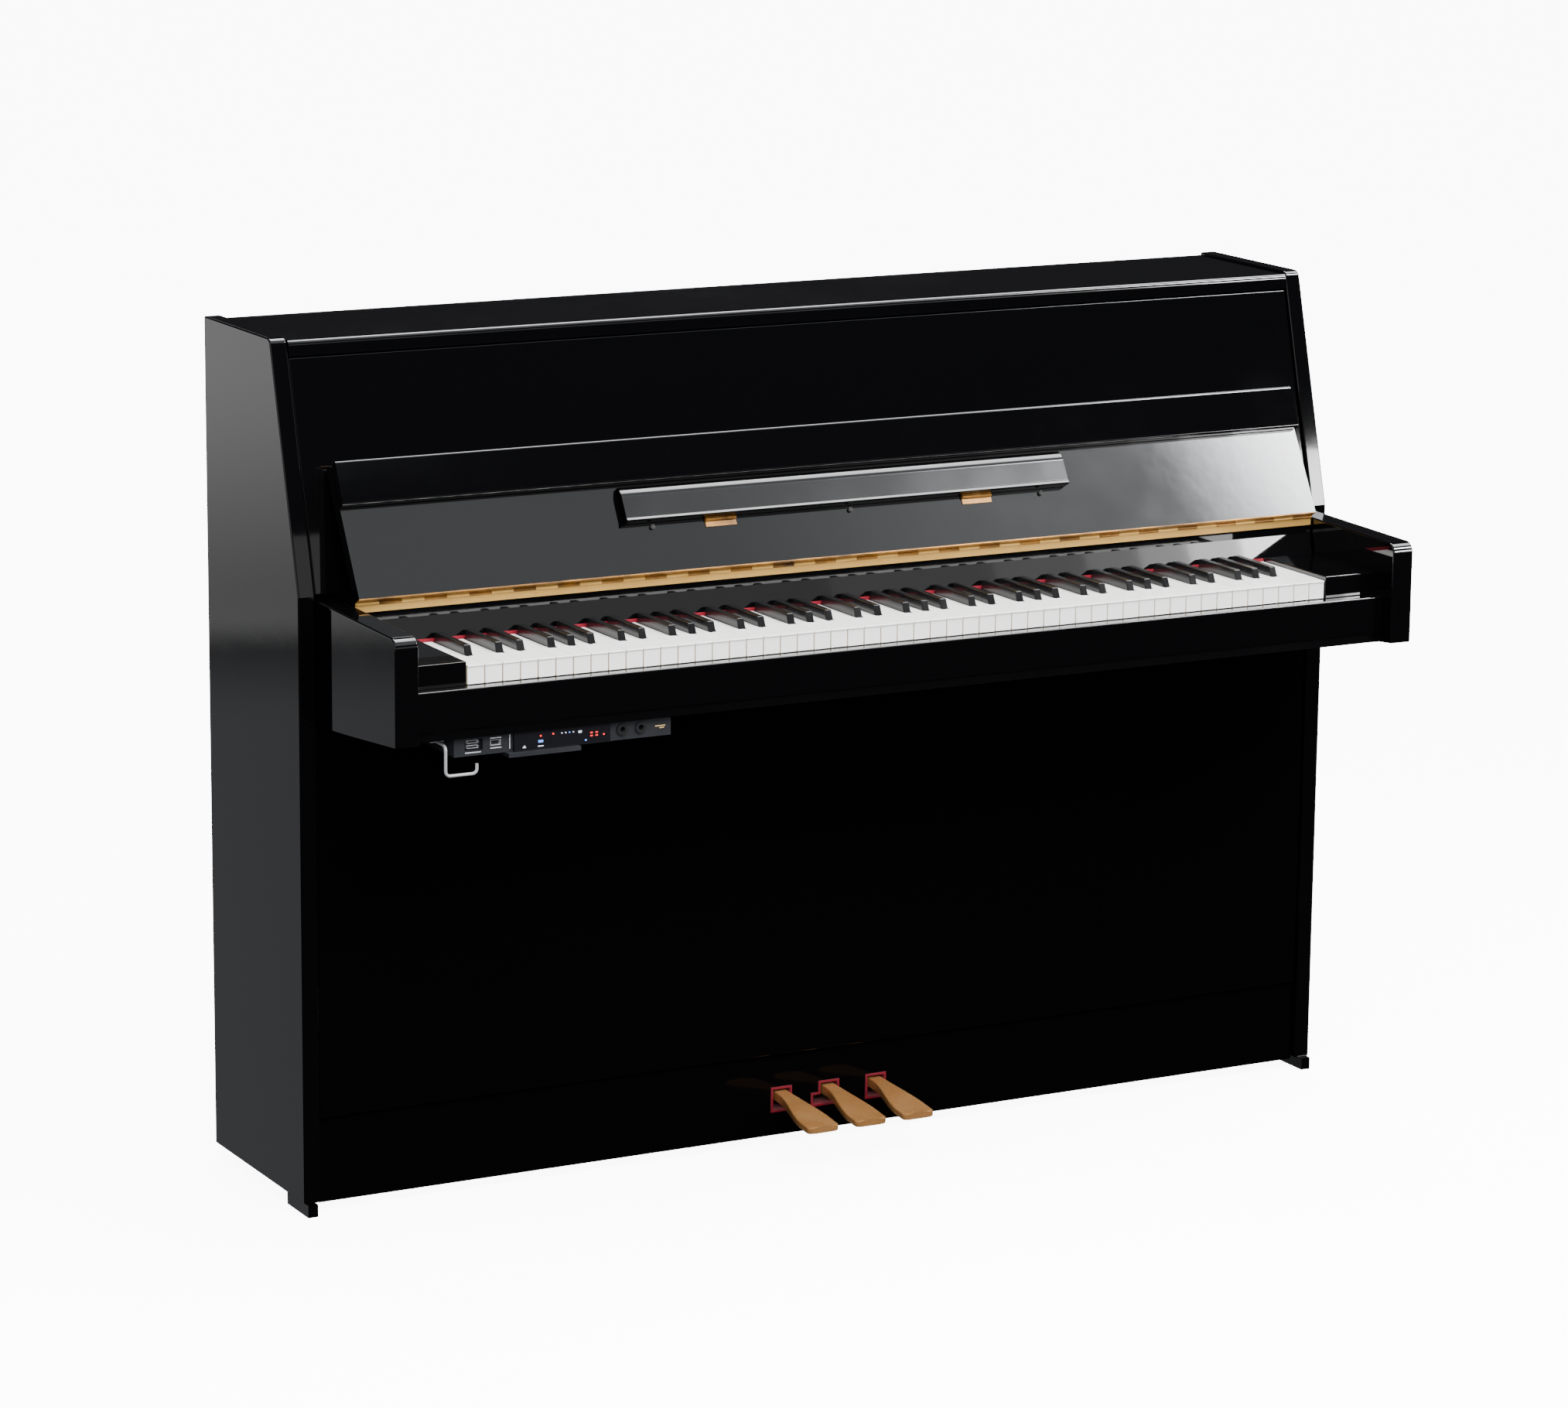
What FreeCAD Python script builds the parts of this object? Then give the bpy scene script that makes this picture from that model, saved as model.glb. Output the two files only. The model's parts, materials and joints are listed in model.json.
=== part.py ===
"""Compact upright piano with a folding fallboard, three pedals and a headphone control unit.

Frame: +Z up, +Y towards the back, +X to the player's right. The origin is on the floor at the centre of
the case's bounding box. A depth called a reach is measured forwards from the rear plane of the case.
"""

import FreeCAD
import Part
import Sketcher
import math
import os

os.makedirs("parts", exist_ok=True)
doc = FreeCAD.newDocument("upright_piano")

# ---------------------------------------------------------------------------
# Driving dimensions, millimetres and degrees
# ---------------------------------------------------------------------------
DRIVING = (
    # case
    ("case_width", 1490, "outside to outside of the side boards"),
    ("case_height", 1090, "floor to the top of the side boards"),
    ("case_depth", 530, "rear plane to the fronts of the arms"),
    ("side_thick", 22, "side board thickness"),
    ("side_rise", 16, "floor to the underside of the side boards"),
    ("knee_height", 784, "height where the front edge starts to lean back"),
    ("case_lean", 14.9, "lean of the upper front from the vertical"),
    ("side_corner", 10, "round on the side board's upper front corner"),
    ("arris", 2, "round on the polished edges"),
    ("panel_thick", 18, "front panel thickness"),
    ("panel_gap", 1.5, "gap at the ends of a loose panel"),
    ("panel_inset", 4, "upper panel behind the side board's front edge"),
    ("lower_inset", 4, "lower panel behind the side board's front edge"),
    ("toe_inset", 9, "toe rail behind the side board's front edge"),
    ("toe_low", 13, "underside of the toe rail"),
    ("toe_top", 121.5, "top of the toe rail"),
    ("toe_thick", 22, "toe rail thickness"),
    ("seam", 1, "joint line between two fixed case parts"),
    ("base_thick", 18, "bottom board thickness"),
    ("foot_width", 13.4, "front foot width"),
    ("foot_length", 67, "front foot length"),
    ("foot_proud", 7, "front foot in front of the side board"),
    # lid
    ("lid_thick", 20, "lid thickness"),
    ("lid_drop", 3, "lid top below the tops of the side boards"),
    ("lid_nose", 1.5, "lid in front of the upper panel"),
    # arms, key bed and key surround
    ("arm_thick", 30.5, "arm thickness"),
    ("arm_top", 780, "top of the arm at the side board"),
    ("arm_fall", 5, "fall of the arm's top towards the front"),
    ("arm_low_front", 643, "underside of the arm at its front"),
    ("arm_low_rear", 621.5, "underside of the arm at the side board"),
    ("arm_corner", 14, "round on the arm's upper front corner"),
    ("arm_tenon", 37, "part of the arm that runs inside the side board"),
    ("bed_low", 642, "underside of the key bed"),
    ("bed_thick", 38, "key bed thickness"),
    ("bed_lip_thick", 11, "front tongue of the key bed, under the slip"),
    ("bed_rear_reach", 135, "rear edge of the key bed"),
    ("slip_thick", 15, "key slip thickness"),
    ("slip_top", 703, "top of the key slip"),
    ("slip_proud", 2.5, "key slip in front of the key bed"),
    ("key_setback", 38, "key fronts behind the arm fronts"),
    ("slip_clearance", 2.5, "key fronts to the key slip"),
    ("block_top", 732, "top of the key blocks"),
    ("block_gap", 1.2, "key block to the last key"),
    # keys
    ("key_pitch", 23.55, "natural key spacing"),
    ("key_gap", 1.05, "gap between natural keys"),
    ("key_top", 727, "playing surface"),
    ("key_low", 703, "underside of the key sticks"),
    ("key_cover", 5, "thickness of the key covering"),
    ("key_head", 50, "length of a natural's wide front"),
    ("key_seen", 144, "visible length of a natural"),
    ("sharp_width", 11, "sharp key width"),
    ("sharp_rise", 12, "sharp top above the naturals"),
    ("sharp_slope", 6, "set-back of the sharp's sloping nose"),
    ("sharp_clearance", 1, "gap beside a sharp"),
    ("stick_room", 1.14, "key stick narrower than a twelfth of the octave"),
    ("nose_gap", 2, "sharp's nose behind the heads of the naturals"),
    ("balance_reach", 305, "balance rail"),
    ("key_tail_reach", 150, "rear ends of the keys"),
    ("capstan_reach", 175, "capstan screws"),
    ("front_pin_reach", 470, "front rail pins"),
    ("pin_radius", 2.2, "balance and front pins"),
    ("pin_room", 1, "room round a pin in the key"),
    ("balance_pin_rise", 20.5, "balance pins above the undersides of the keys"),
    ("front_pin_rise", 4.5, "front pins above the undersides of the keys"),
    ("balance_rail_depth", 14, "balance rail's bearing, front to back"),
    ("balance_room", 0.6, "keys at rest above the balance rail's cloth"),
    ("front_rail_depth", 36, "front rail, front to back"),
    ("front_room", 12, "keys at rest above the front rail's cloth"),
    ("back_rail_depth", 22, "back rail, front to back"),
    ("back_room", 0.3, "key tails at rest above the back rail's cloth"),
    # nameboard and fallboard
    ("rail_top", 783, "top of the nameboard rail"),
    ("rail_front_drop", 25, "front face of the nameboard rail"),
    ("nameboard_low", 724, "lower edge of the nameboard"),
    ("nameboard_foot", 9, "lower edge forward of the rail's front face"),
    ("felt_height", 7, "red felt strip behind the keys"),
    ("felt_thick", 1.2, "thickness of that strip"),
    ("knee_ledge", 48, "fallboard hinge in front of the side board's upright front edge"),
    ("fall_lean", 29, "open fallboard's lean from the vertical"),
    ("fall_thick", 16, "fallboard thickness"),
    ("fall_length", 175, "hinge line to the lip's hinge line"),
    ("fall_side_gap", 2.5, "fallboard to each arm"),
    ("fall_proud", 3, "outer face beyond the hinge line"),
    ("hinge_setoff", 2.5, "hinge line to the edges of the two boards"),
    ("leaf_thick", 1.5, "hinge leaf thickness"),
    ("leaf_depth", 11, "long hinge's leaf on the rail"),
    ("knuckle_radius", 2.2, "hinge knuckles"),
    ("hinge_pin_radius", 1, "hinge pins"),
    ("hinge_fit", 0.05, "radial play of a hinge pin"),
    ("knuckle_length", 30, "one knuckle of the long hinge"),
    ("knuckle_gap", 0.4, "gap between two knuckles"),
    ("lip_height", 56, "folding lip of the fallboard"),
    ("lip_thick", 14, "lip thickness at its hinge"),
    ("lip_edge", 10, "lip thickness at its free edge"),
    ("lip_leaf_gap", 2, "gap for the lip's hinge leaves"),
    ("lip_relief", 2.4, "bevels that clear the lip's knuckles"),
    ("shelf_start", 67, "music shelf's hinged edge from the fallboard hinge"),
    ("shelf_depth", 47, "music shelf depth"),
    ("shelf_width", 638, "music shelf length"),
    ("shelf_thick", 13, "music shelf thickness at its crown"),
    ("shelf_edge", 6, "music shelf thickness at its edges"),
    ("shelf_hinge_x", 185, "music shelf hinges from the centre"),
    ("shelf_hinge_width", 43, "one music shelf hinge"),
    ("button_radius", 5, "rubber buttons"),
    # back, soundboard and strings
    ("frame_back", 2, "rear face of the back frame"),
    ("frame_depth", 54, "front face of the back frame's beams"),
    ("beam_height", 60, "back beams"),
    ("beam_low", 42, "underside of the lower back beam"),
    ("post_width", 60, "back posts"),
    ("post_depth", 36, "back posts, front to back"),
    ("rib_depth", 14, "soundboard ribs"),
    ("rib_width", 22, "soundboard ribs"),
    ("sound_thick", 9, "soundboard thickness"),
    ("pin_block_height", 112, "pin block"),
    ("pin_block_depth", 28, "pin block, front to back"),
    ("plate_thick", 8, "iron plate web"),
    ("plate_low", 60, "lower edge of the iron plate"),
    ("treble_plane", 97, "reach of the plain strings"),
    ("bass_plane", 103, "reach of the wound strings"),
    ("tuning_pin_radius", 3.4, "tuning pins"),
    # action
    ("hammer_line", 905, "height of the hammer heads"),
    ("hammer_reach", 160, "hammer shanks"),
    ("hammer_length", 26, "hammer head, front to back"),
    ("action_depth", 93, "action frame, front to back"),
    ("damper_depth", 12, "damper blocks, front to back"),
    ("wippen_low", 744, "underside of the wippens"),
    # pedals
    ("pedal_pitch", 70, "pedal spacing"),
    ("pedal_pivot_reach", 160, "pedal pivots"),
    ("pedal_pivot_height", 66, "pedal pivots"),
    ("pedal_tip_reach", 402, "pedal fronts"),
    ("pedal_tail_reach", 106, "rear ends of the pedal levers"),
    ("pedal_neck", 19, "pedal neck width"),
    ("pedal_toe", 46, "pedal width at the toe"),
    ("pedal_thick", 14, "lever height at the slot"),
    ("pedal_tip_thick", 9, "pedal thickness at the toe"),
    ("pedal_tip_drop", 17, "fall of the pedal's top to the toe"),
    ("pedal_pin_radius", 4, "pedal pivot pins"),
    ("slot_width", 31, "pedal slot in the toe rail"),
    ("slot_height", 34, "pedal slot in the toe rail"),
    ("slot_low", 44, "underside of the pedal slots"),
    ("slot_notch", 11, "sideways notch of the middle slot"),
    ("slot_notch_height", 19, "height of that notch"),
    ("collar_thick", 3, "felt lining of the pedal slots"),
    ("rod_radius", 6, "pedal rods"),
    ("rod_reach", 116, "pedal rods"),
    ("rod_top", 790, "upper ends of the pedal rods"),
    ("rod_gap", 1, "lever to rod"),
    # headphone control unit and hook
    ("unit_left", 634, "left end of the control unit from the centre"),
    ("unit_right", 344, "right end of the control unit from the centre"),
    ("unit_height", 24, "control unit height"),
    ("unit_front_reach", 500, "front of the control unit"),
    ("unit_depth", 110, "control unit depth"),
    ("display_left", 556, "display from the centre"),
    ("display_right", 428, "display from the centre"),
    ("display_proud", 5, "display in front of the unit"),
    ("tray_thick", 5, "ledge under the display"),
    ("tray_left", 566, "left end of that ledge from the centre"),
    ("tray_right", 470, "right end of that ledge from the centre"),
    ("jack_rise", 13.2, "sockets and ports above the unit's underside"),
    ("jack_radius", 7.5, "headphone socket collar"),
    ("hook_x", 645, "hook from the centre"),
    ("hook_width", 41, "hook width"),
    ("hook_low", 594, "bottom of the hook"),
    ("hook_wire", 2, "hook wire radius"),
    ("hook_bend", 6, "hook bend radius"),
    # rear casters
    ("caster_x", 600, "rear casters from the centre"),
    ("caster_reach", 30, "rear caster axles"),
    ("wheel_radius", 18, "rear caster wheels"),
    ("wheel_width", 22, "rear caster wheels"),
    ("axle_radius", 3, "caster axles"),
)

sheet = doc.addObject("Spreadsheet::Sheet", "sizes")
for row, (alias, number, meaning) in enumerate(DRIVING, start=1):
    sheet.set("A%d" % row, alias.replace("_", " "))
    sheet.set("B%d" % row, str(number))
    sheet.setAlias("B%d" % row, alias)
    sheet.set("C%d" % row, meaning)
doc.recompute()


class Size:
    """A number of the model, together with the sheet expression that gives it."""

    def __init__(self, value, text):
        self.value = float(value)
        self.text = text

    @staticmethod
    def of(other):
        return other if isinstance(other, Size) else Size(other, repr(float(other)))

    def __add__(self, other):
        other = Size.of(other)
        return Size(self.value + other.value, "(%s + %s)" % (self.text, other.text))

    def __sub__(self, other):
        other = Size.of(other)
        return Size(self.value - other.value, "(%s - %s)" % (self.text, other.text))

    def __mul__(self, other):
        other = Size.of(other)
        return Size(self.value * other.value, "(%s * %s)" % (self.text, other.text))

    def __truediv__(self, other):
        other = Size.of(other)
        return Size(self.value / other.value, "(%s / %s)" % (self.text, other.text))

    def __radd__(self, other):
        return Size.of(other) + self

    def __rsub__(self, other):
        return Size.of(other) - self

    def __rmul__(self, other):
        return Size.of(other) * self

    def __neg__(self):
        return Size(-self.value, "(-1 * %s)" % self.text)


def size(alias):
    return Size(sheet.get(alias), "sizes." + alias)


def sine(angle):
    return Size(math.sin(math.radians(angle.value)), "sin(%s)" % angle.text)


def cosine(angle):
    return Size(math.cos(math.radians(angle.value)), "cos(%s)" % angle.text)


def tangent(angle):
    return Size(math.tan(math.radians(angle.value)), "tan(%s)" % angle.text)


def bind(thing, prop, amount):
    thing.setExpression(prop, Size.of(amount).text)


# ---------------------------------------------------------------------------
# Ways of making a piece
# ---------------------------------------------------------------------------
nodes = []


def named(piece, label):
    """Registers a finished piece under the name of its file."""
    piece.Label = label
    nodes.append(piece)
    return piece


def block(name, x, y, z):
    """A squared piece between three pairs of limits."""
    box = doc.addObject("Part::Box", name)
    for edge, axis, (low, high) in (("Length", "x", x), ("Width", "y", y), ("Height", "z", z)):
        low = Size.of(low)
        high = Size.of(high)
        bind(box, edge, high - low)
        bind(box, "Placement.Base." + axis, low)
    return box


ORIGIN_ROLE = {"x": "YZ_Plane", "y": "XZ_Plane", "z": "XY_Plane"}


def outline_sketch(body, axis, outlines, start):
    """A sketch square to one axis whose every corner is tied to the sheet."""
    sketch = body.newObject("Sketcher::SketchObject", body.Name + "_outline")
    plane = [p for p in body.Origin.OriginFeatures if p.Role == ORIGIN_ROLE[axis]][0]
    sketch.AttachmentSupport = [(plane, "")]
    sketch.MapMode = "FlatFace"
    bind(sketch, "AttachmentOffset.Base.z", start)
    for corners in outlines:
        corners = [(Size.of(u), Size.of(v)) for u, v in corners]
        first = sketch.GeometryCount
        count = len(corners)
        for i in range(count):
            u, v = corners[i]
            next_u, next_v = corners[(i + 1) % count]
            begin = FreeCAD.Vector(u.value, v.value, 0)
            end = FreeCAD.Vector(next_u.value, next_v.value, 0)
            sketch.addGeometry(Part.LineSegment(begin, end), False)
        for i in range(count):
            after = first + (i + 1) % count
            sketch.addConstraint(Sketcher.Constraint("Coincident", first + i, 2, after, 1))
        for i in range(count):
            for kind, amount in (("DistanceX", corners[i][0]), ("DistanceY", corners[i][1])):
                rule = Sketcher.Constraint(kind, -1, 1, first + i, 1, amount.value)
                index = sketch.addConstraint(rule)
                bind(sketch, "Constraints[%d]" % index, amount)
    return sketch


def slab(name, axis, outlines, low, high):
    """A piece of constant section along one axis; the first outline is the edge, the others are holes.

    The outline's coordinates are (y, z) for axis x, (x, z) for axis y and (x, y) for axis z.
    """
    low = Size.of(low)
    high = Size.of(high)
    body = doc.addObject("PartDesign::Body", name)
    start = -high if axis == "y" else low
    sketch = outline_sketch(body, axis, outlines, start)
    pad = body.newObject("PartDesign::Pad", name + "_pad")
    pad.Profile = sketch
    bind(pad, "Length", high - low)
    body.Tip = pad
    doc.recompute()
    return body


def straight_edges(shape, axis, spots):
    """Names of the straight edges along an axis that pass nearest to the given points of the section."""
    keep = {"x": (1, 2), "y": (0, 2), "z": (0, 1)}[axis]
    along = {"x": 0, "y": 1, "z": 2}[axis]
    found = []
    for spot in spots:
        best = None
        for number, edge in enumerate(shape.Edges, start=1):
            ends = [vertex.Point for vertex in edge.Vertexes]
            if len(ends) < 2 or abs(abs(ends[1][along] - ends[0][along]) - edge.Length) > 1e-4:
                continue
            miss = math.dist([ends[0][k] for k in keep], [Size.of(s).value for s in spot])
            if best is None or miss < best[0]:
                best = (miss, "Edge%d" % number)
        found.append(best[1])
    return found


def rounded(body, amount, edges=None):
    """Rounds the named edges of a body, or all of them."""
    base = body.Tip
    fillet = body.newObject("PartDesign::Fillet", base.Name + "_round")
    fillet.Base = (base, edges or [])
    if edges is None:
        fillet.UseAllEdges = True
    fillet.Refine = False
    bind(fillet, "Radius", amount)
    body.Tip = fillet
    doc.recompute()
    return body


def group(label, solids):
    """Separate like solids that share one node."""
    feature = doc.addObject("Part::Feature", label)
    feature.Shape = solids[0] if len(solids) == 1 else Part.makeCompound(solids)
    feature.Placement = FreeCAD.Placement()
    return named(feature, label)


def box_between(x, y, z):
    """A plain box solid between three pairs of limits, for pieces in a group."""
    low = [min(Size.of(v).value for v in pair) for pair in (x, y, z)]
    high = [max(Size.of(v).value for v in pair) for pair in (x, y, z)]
    return Part.makeBox(high[0] - low[0], high[1] - low[1], high[2] - low[2], FreeCAD.Vector(*low))


def rod_between(start, end, radius):
    """A round bar from one point to another."""
    start = FreeCAD.Vector(*[Size.of(v).value for v in start])
    end = FreeCAD.Vector(*[Size.of(v).value for v in end])
    return Part.makeCylinder(Size.of(radius).value, (end - start).Length, start, end - start)


def prism(corners, low, high):
    """A solid with a (y, z) section that runs along X."""
    points = [FreeCAD.Vector(low, y, z) for y, z in corners]
    face = Part.Face(Part.makePolygon(points + points[:1]))
    return face.extrude(FreeCAD.Vector(high - low, 0, 0))


# ---------------------------------------------------------------------------
# Places that several pieces share
# ---------------------------------------------------------------------------
half_width = size("case_width") / 2
inner_x = half_width - size("side_thick")
rear_y = size("case_depth") / 2
height = size("case_height")


def ahead(reach):
    """The y of a point that lies this far in front of the rear plane."""
    return rear_y - reach


lip_room = size("lip_leaf_gap") / 2
hinge_reach = size("case_depth") - size("lip_thick") - lip_room - size("fall_length")
hinge_z = size("rail_top") - size("fall_proud")
rail_front_reach = hinge_reach - size("hinge_setoff")
side_reach = hinge_reach - size("knee_ledge")
lean_rate = tangent(size("case_lean"))
top_reach = side_reach - lean_rate * (height - size("knee_height"))
lid_top = height - size("lid_drop")
lid_low = lid_top - size("lid_thick")
bed_top = size("bed_low") + size("bed_thick")
key_front_reach = size("case_depth") - size("key_setback")
slip_rear_reach = key_front_reach + size("slip_clearance")
slip_front_reach = slip_rear_reach + size("slip_thick")
arm_inner_x = inner_x - size("arm_thick")
keys_half = size("key_pitch") * 26


def lean_reach(z, inset):
    """Reach of a leaning front plane at a height, set back from the side board's front edge."""
    return side_reach - inset - lean_rate * (z - size("knee_height"))


# ---------------------------------------------------------------------------
# Case: side boards, base, panels
# ---------------------------------------------------------------------------
def side_board(label, low, high):
    """A side board with its front edge leaning back above the knee."""
    body = slab(label, "x", [(
        (rear_y, size("side_rise")),
        (ahead(side_reach), size("side_rise")),
        (ahead(side_reach), size("knee_height")),
        (ahead(top_reach), height),
        (rear_y, height),
    )], low, high)
    corner = straight_edges(body.Shape, "x", [(ahead(top_reach), height)])
    rounded(body, size("side_corner"), corner)
    rounded(body, size("arris"))
    return named(body, label)


side_board("side_board_left", -half_width, -inner_x)
side_board("side_board_right", inner_x, half_width)

base_top = size("side_rise") + size("base_thick")
panel_x = inner_x - size("panel_gap")
toe_front = side_reach - size("toe_inset")
toe_rear = toe_front - size("toe_thick")
named(block("bottom_board", (-inner_x, inner_x), (ahead(toe_rear), ahead(size("frame_depth") + size("seam"))),
            (size("side_rise"), base_top)), "bottom_board")

foot_x = half_width - size("arris") - size("foot_width")
feet = []
for sign in (-1, 1):
    feet.append(box_between((sign * foot_x, sign * (foot_x + size("foot_width"))),
                            (ahead(side_reach + size("foot_proud")),
                             ahead(side_reach + size("foot_proud") - size("foot_length"))),
                            (0, size("side_rise"))))
group("front_feet", feet)

slot_top = size("slot_low") + size("slot_height")
slot_half = size("slot_width") / 2
notch_top = size("slot_low") + size("slot_notch_height")


def slot_outline(centre, notch, shrink):
    """A pedal slot in (x, z); the middle one has a step to the left, where its pedal locks down."""
    left = centre - slot_half + shrink
    right = centre + slot_half - shrink
    low = size("slot_low") + shrink
    top = slot_top - shrink
    if not notch:
        return ((left, low), (right, low), (right, top), (left, top))
    step = notch_top - shrink
    outer = left - size("slot_notch")
    return ((outer, low), (right, low), (right, top), (left, top), (left, step), (outer, step))


pedals = (("soft", -1), ("mute", 0), ("sustain", 1))
toe_edge = ((-panel_x, size("toe_low")), (panel_x, size("toe_low")),
            (panel_x, size("toe_top")), (-panel_x, size("toe_top")))
slots = [slot_outline(size("pedal_pitch") * place, place == 0, Size.of(0)) for _, place in pedals]
toe_rail = slab("toe_rail", "y", [toe_edge] + slots, ahead(toe_front), ahead(toe_rear))
named(toe_rail, "toe_rail")

lower_front = side_reach - size("lower_inset")
lower_panel = slab("lower_front_panel", "x", [(
    (ahead(lower_front), size("toe_top") + size("seam")),
    (ahead(lower_front), size("bed_low") - size("seam") * 2),
    (ahead(lower_front - size("panel_thick")), size("bed_low") - size("seam") * 2),
    (ahead(lower_front - size("panel_thick")), size("toe_top") + size("seam")),
)], -panel_x, panel_x)
rounded(lower_panel, size("arris"))
named(lower_panel, "lower_front_panel")

panel_low = size("rail_top") + size("seam")
panel_high = lid_low - size("seam") * 2
inset = size("panel_inset")
panel_run = size("panel_thick") / cosine(size("case_lean"))
upper_panel = slab("upper_front_panel", "x", [(
    (ahead(lean_reach(panel_low, inset)), panel_low),
    (ahead(lean_reach(panel_high, inset)), panel_high),
    (ahead(lean_reach(panel_high, inset) - panel_run), panel_high),
    (ahead(lean_reach(panel_low, inset) - panel_run), panel_low),
)], -panel_x, panel_x)
rounded(upper_panel, size("arris"))
named(upper_panel, "upper_front_panel")

# The lid lies between the side boards; its rear edge stops short of the hinge knuckles.
lid_pin_reach = size("hinge_setoff") + size("seam")
lid_pin_z = lid_top - size("knuckle_radius") - size("seam")
lid_rear_reach = lid_pin_reach + size("hinge_setoff")
lid_front_reach = lean_reach(panel_high, inset) + size("lid_nose")
top_lid = slab("top_lid", "x", [(
    (ahead(lid_rear_reach), lid_low),
    (ahead(lid_front_reach), lid_low),
    (ahead(lid_front_reach), lid_top),
    (ahead(lid_rear_reach), lid_top),
)], -panel_x, panel_x)
nose = straight_edges(top_lid.Shape, "x", [(ahead(lid_front_reach), lid_top)])
rounded(top_lid, size("lid_thick") / 3, nose)
named(top_lid, "top_lid")

# ---------------------------------------------------------------------------
# Arms, key bed, key slip and key blocks
# ---------------------------------------------------------------------------
arm_front = ahead(size("case_depth"))
arm_root = ahead(side_reach + size("seam"))
arm_tail = ahead(side_reach - size("arm_tenon"))


def arm(label, low, high):
    """An arm: its front stands out of the case and a tenon runs back along the side board."""
    body = slab(label, "x", [(
        (arm_tail, size("bed_low") + 8),
        (arm_root, size("bed_low") + 8),
        (arm_root, size("arm_low_rear")),
        (arm_front, size("arm_low_front")),
        (arm_front, size("arm_top") - size("arm_fall")),
        (arm_tail, size("arm_top")),
    )], low, high)
    corner = straight_edges(body.Shape, "x", [(arm_front, size("arm_top") - size("arm_fall"))])
    rounded(body, size("arm_corner"), corner)
    rounded(body, size("arris"))
    return named(body, label)


arm("arm_left", -inner_x, -arm_inner_x)
arm("arm_right", arm_inner_x, inner_x)

bed_tongue = size("bed_low") + size("bed_lip_thick")
key_bed = slab("key_bed", "x", [(
    (ahead(slip_front_reach - size("slip_proud")), size("bed_low")),
    (ahead(slip_front_reach - size("slip_proud")), bed_tongue),
    (ahead(slip_rear_reach - size("slip_clearance")), bed_tongue),
    (ahead(slip_rear_reach - size("slip_clearance")), bed_top),
    (ahead(size("bed_rear_reach")), bed_top),
    (ahead(size("bed_rear_reach")), size("bed_low")),
)], -arm_inner_x, arm_inner_x)
named(key_bed, "key_bed")

key_slip = slab("key_slip", "x", [(
    (ahead(slip_front_reach), bed_tongue),
    (ahead(slip_front_reach), size("slip_top")),
    (ahead(slip_rear_reach), size("slip_top")),
    (ahead(slip_rear_reach), bed_tongue),
)], -arm_inner_x, arm_inner_x)
rounded(key_slip, size("arris"))
named(key_slip, "key_slip")

nameboard_front = rail_front_reach + size("nameboard_foot")
block_rear_reach = nameboard_front + size("seam")
blocks = []
for sign in (-1, 1):
    blocks.append(box_between((sign * (keys_half + size("block_gap")), sign * arm_inner_x),
                              (ahead(key_front_reach), ahead(block_rear_reach)),
                              (bed_top, size("block_top"))))
    blocks[-1] = blocks[-1].makeFillet(size("arris").value / 2, blocks[-1].Edges)
group("key_blocks", blocks)

# ---------------------------------------------------------------------------
# Nameboard: a rail that carries the fallboard hinge, with a leaning board down to the keys
# ---------------------------------------------------------------------------
rail_foot = size("rail_top") - size("rail_front_drop")
board_x = arm_inner_x - size("fall_side_gap")
rail_rear_reach = lean_reach(panel_low, inset) - panel_run
nameboard = slab("nameboard", "x", [(
    (ahead(rail_rear_reach), size("rail_top")),
    (ahead(rail_front_reach), size("rail_top")),
    (ahead(rail_front_reach), rail_foot),
    (ahead(nameboard_front), size("nameboard_low")),
    (ahead(nameboard_front - size("panel_thick")), size("nameboard_low")),
    (ahead(rail_front_reach - size("panel_thick")), rail_foot),
    (ahead(rail_rear_reach), rail_foot),
)], -board_x, board_x)
named(nameboard, "nameboard")

name_lean = size("nameboard_foot") / (rail_foot - size("nameboard_low"))
felt_top = size("nameboard_low") + size("felt_height")
felt_top_reach = nameboard_front - name_lean * size("felt_height")
name_felt = slab("nameboard_felt", "x", [(
    (ahead(nameboard_front), size("nameboard_low")),
    (ahead(felt_top_reach), felt_top),
    (ahead(felt_top_reach + size("felt_thick")), felt_top),
    (ahead(nameboard_front + size("felt_thick")), size("nameboard_low")),
)], -keys_half, keys_half)
named(name_felt, "nameboard_felt")

# ---------------------------------------------------------------------------
# Fallboard, folding lip and music shelf. Each lies in the fallboard's own section: "along" runs from the
# hinge line up the open board, and "out" runs from the hinge line towards the player.
# ---------------------------------------------------------------------------
fall_sin = sine(size("fall_lean"))
fall_cos = cosine(size("fall_lean"))


def fall_point(along, out):
    """(y, z) of a point of the open fallboard."""
    reach = hinge_reach - fall_sin * along + fall_cos * out
    return (ahead(reach), hinge_z + fall_cos * along + fall_sin * out)


setoff = size("hinge_setoff")
outer_face = -size("fall_proud")
inner_face = size("fall_thick") - size("fall_proud")
lip_line = size("fall_length")
lip_axis_out = inner_face + lip_room
relief = size("lip_relief")
heel = size("fall_proud") + size("seam") / 2
heel_out = (heel - fall_cos * setoff) / fall_sin
heel_along = (heel + fall_sin * size("fall_proud")) / fall_cos
fallboard = slab("fallboard", "x", [(
    fall_point(setoff, heel_out),
    fall_point(heel_along, outer_face),
    fall_point(lip_line, outer_face),
    fall_point(lip_line, inner_face - relief),
    fall_point(lip_line - relief, inner_face),
    fall_point(setoff, inner_face),
)], -board_x, board_x)
back_edges = straight_edges(fallboard.Shape, "x", [fall_point(lip_line, outer_face)])
rounded(fallboard, size("arris"), back_edges)
named(fallboard, "fallboard")

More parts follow.
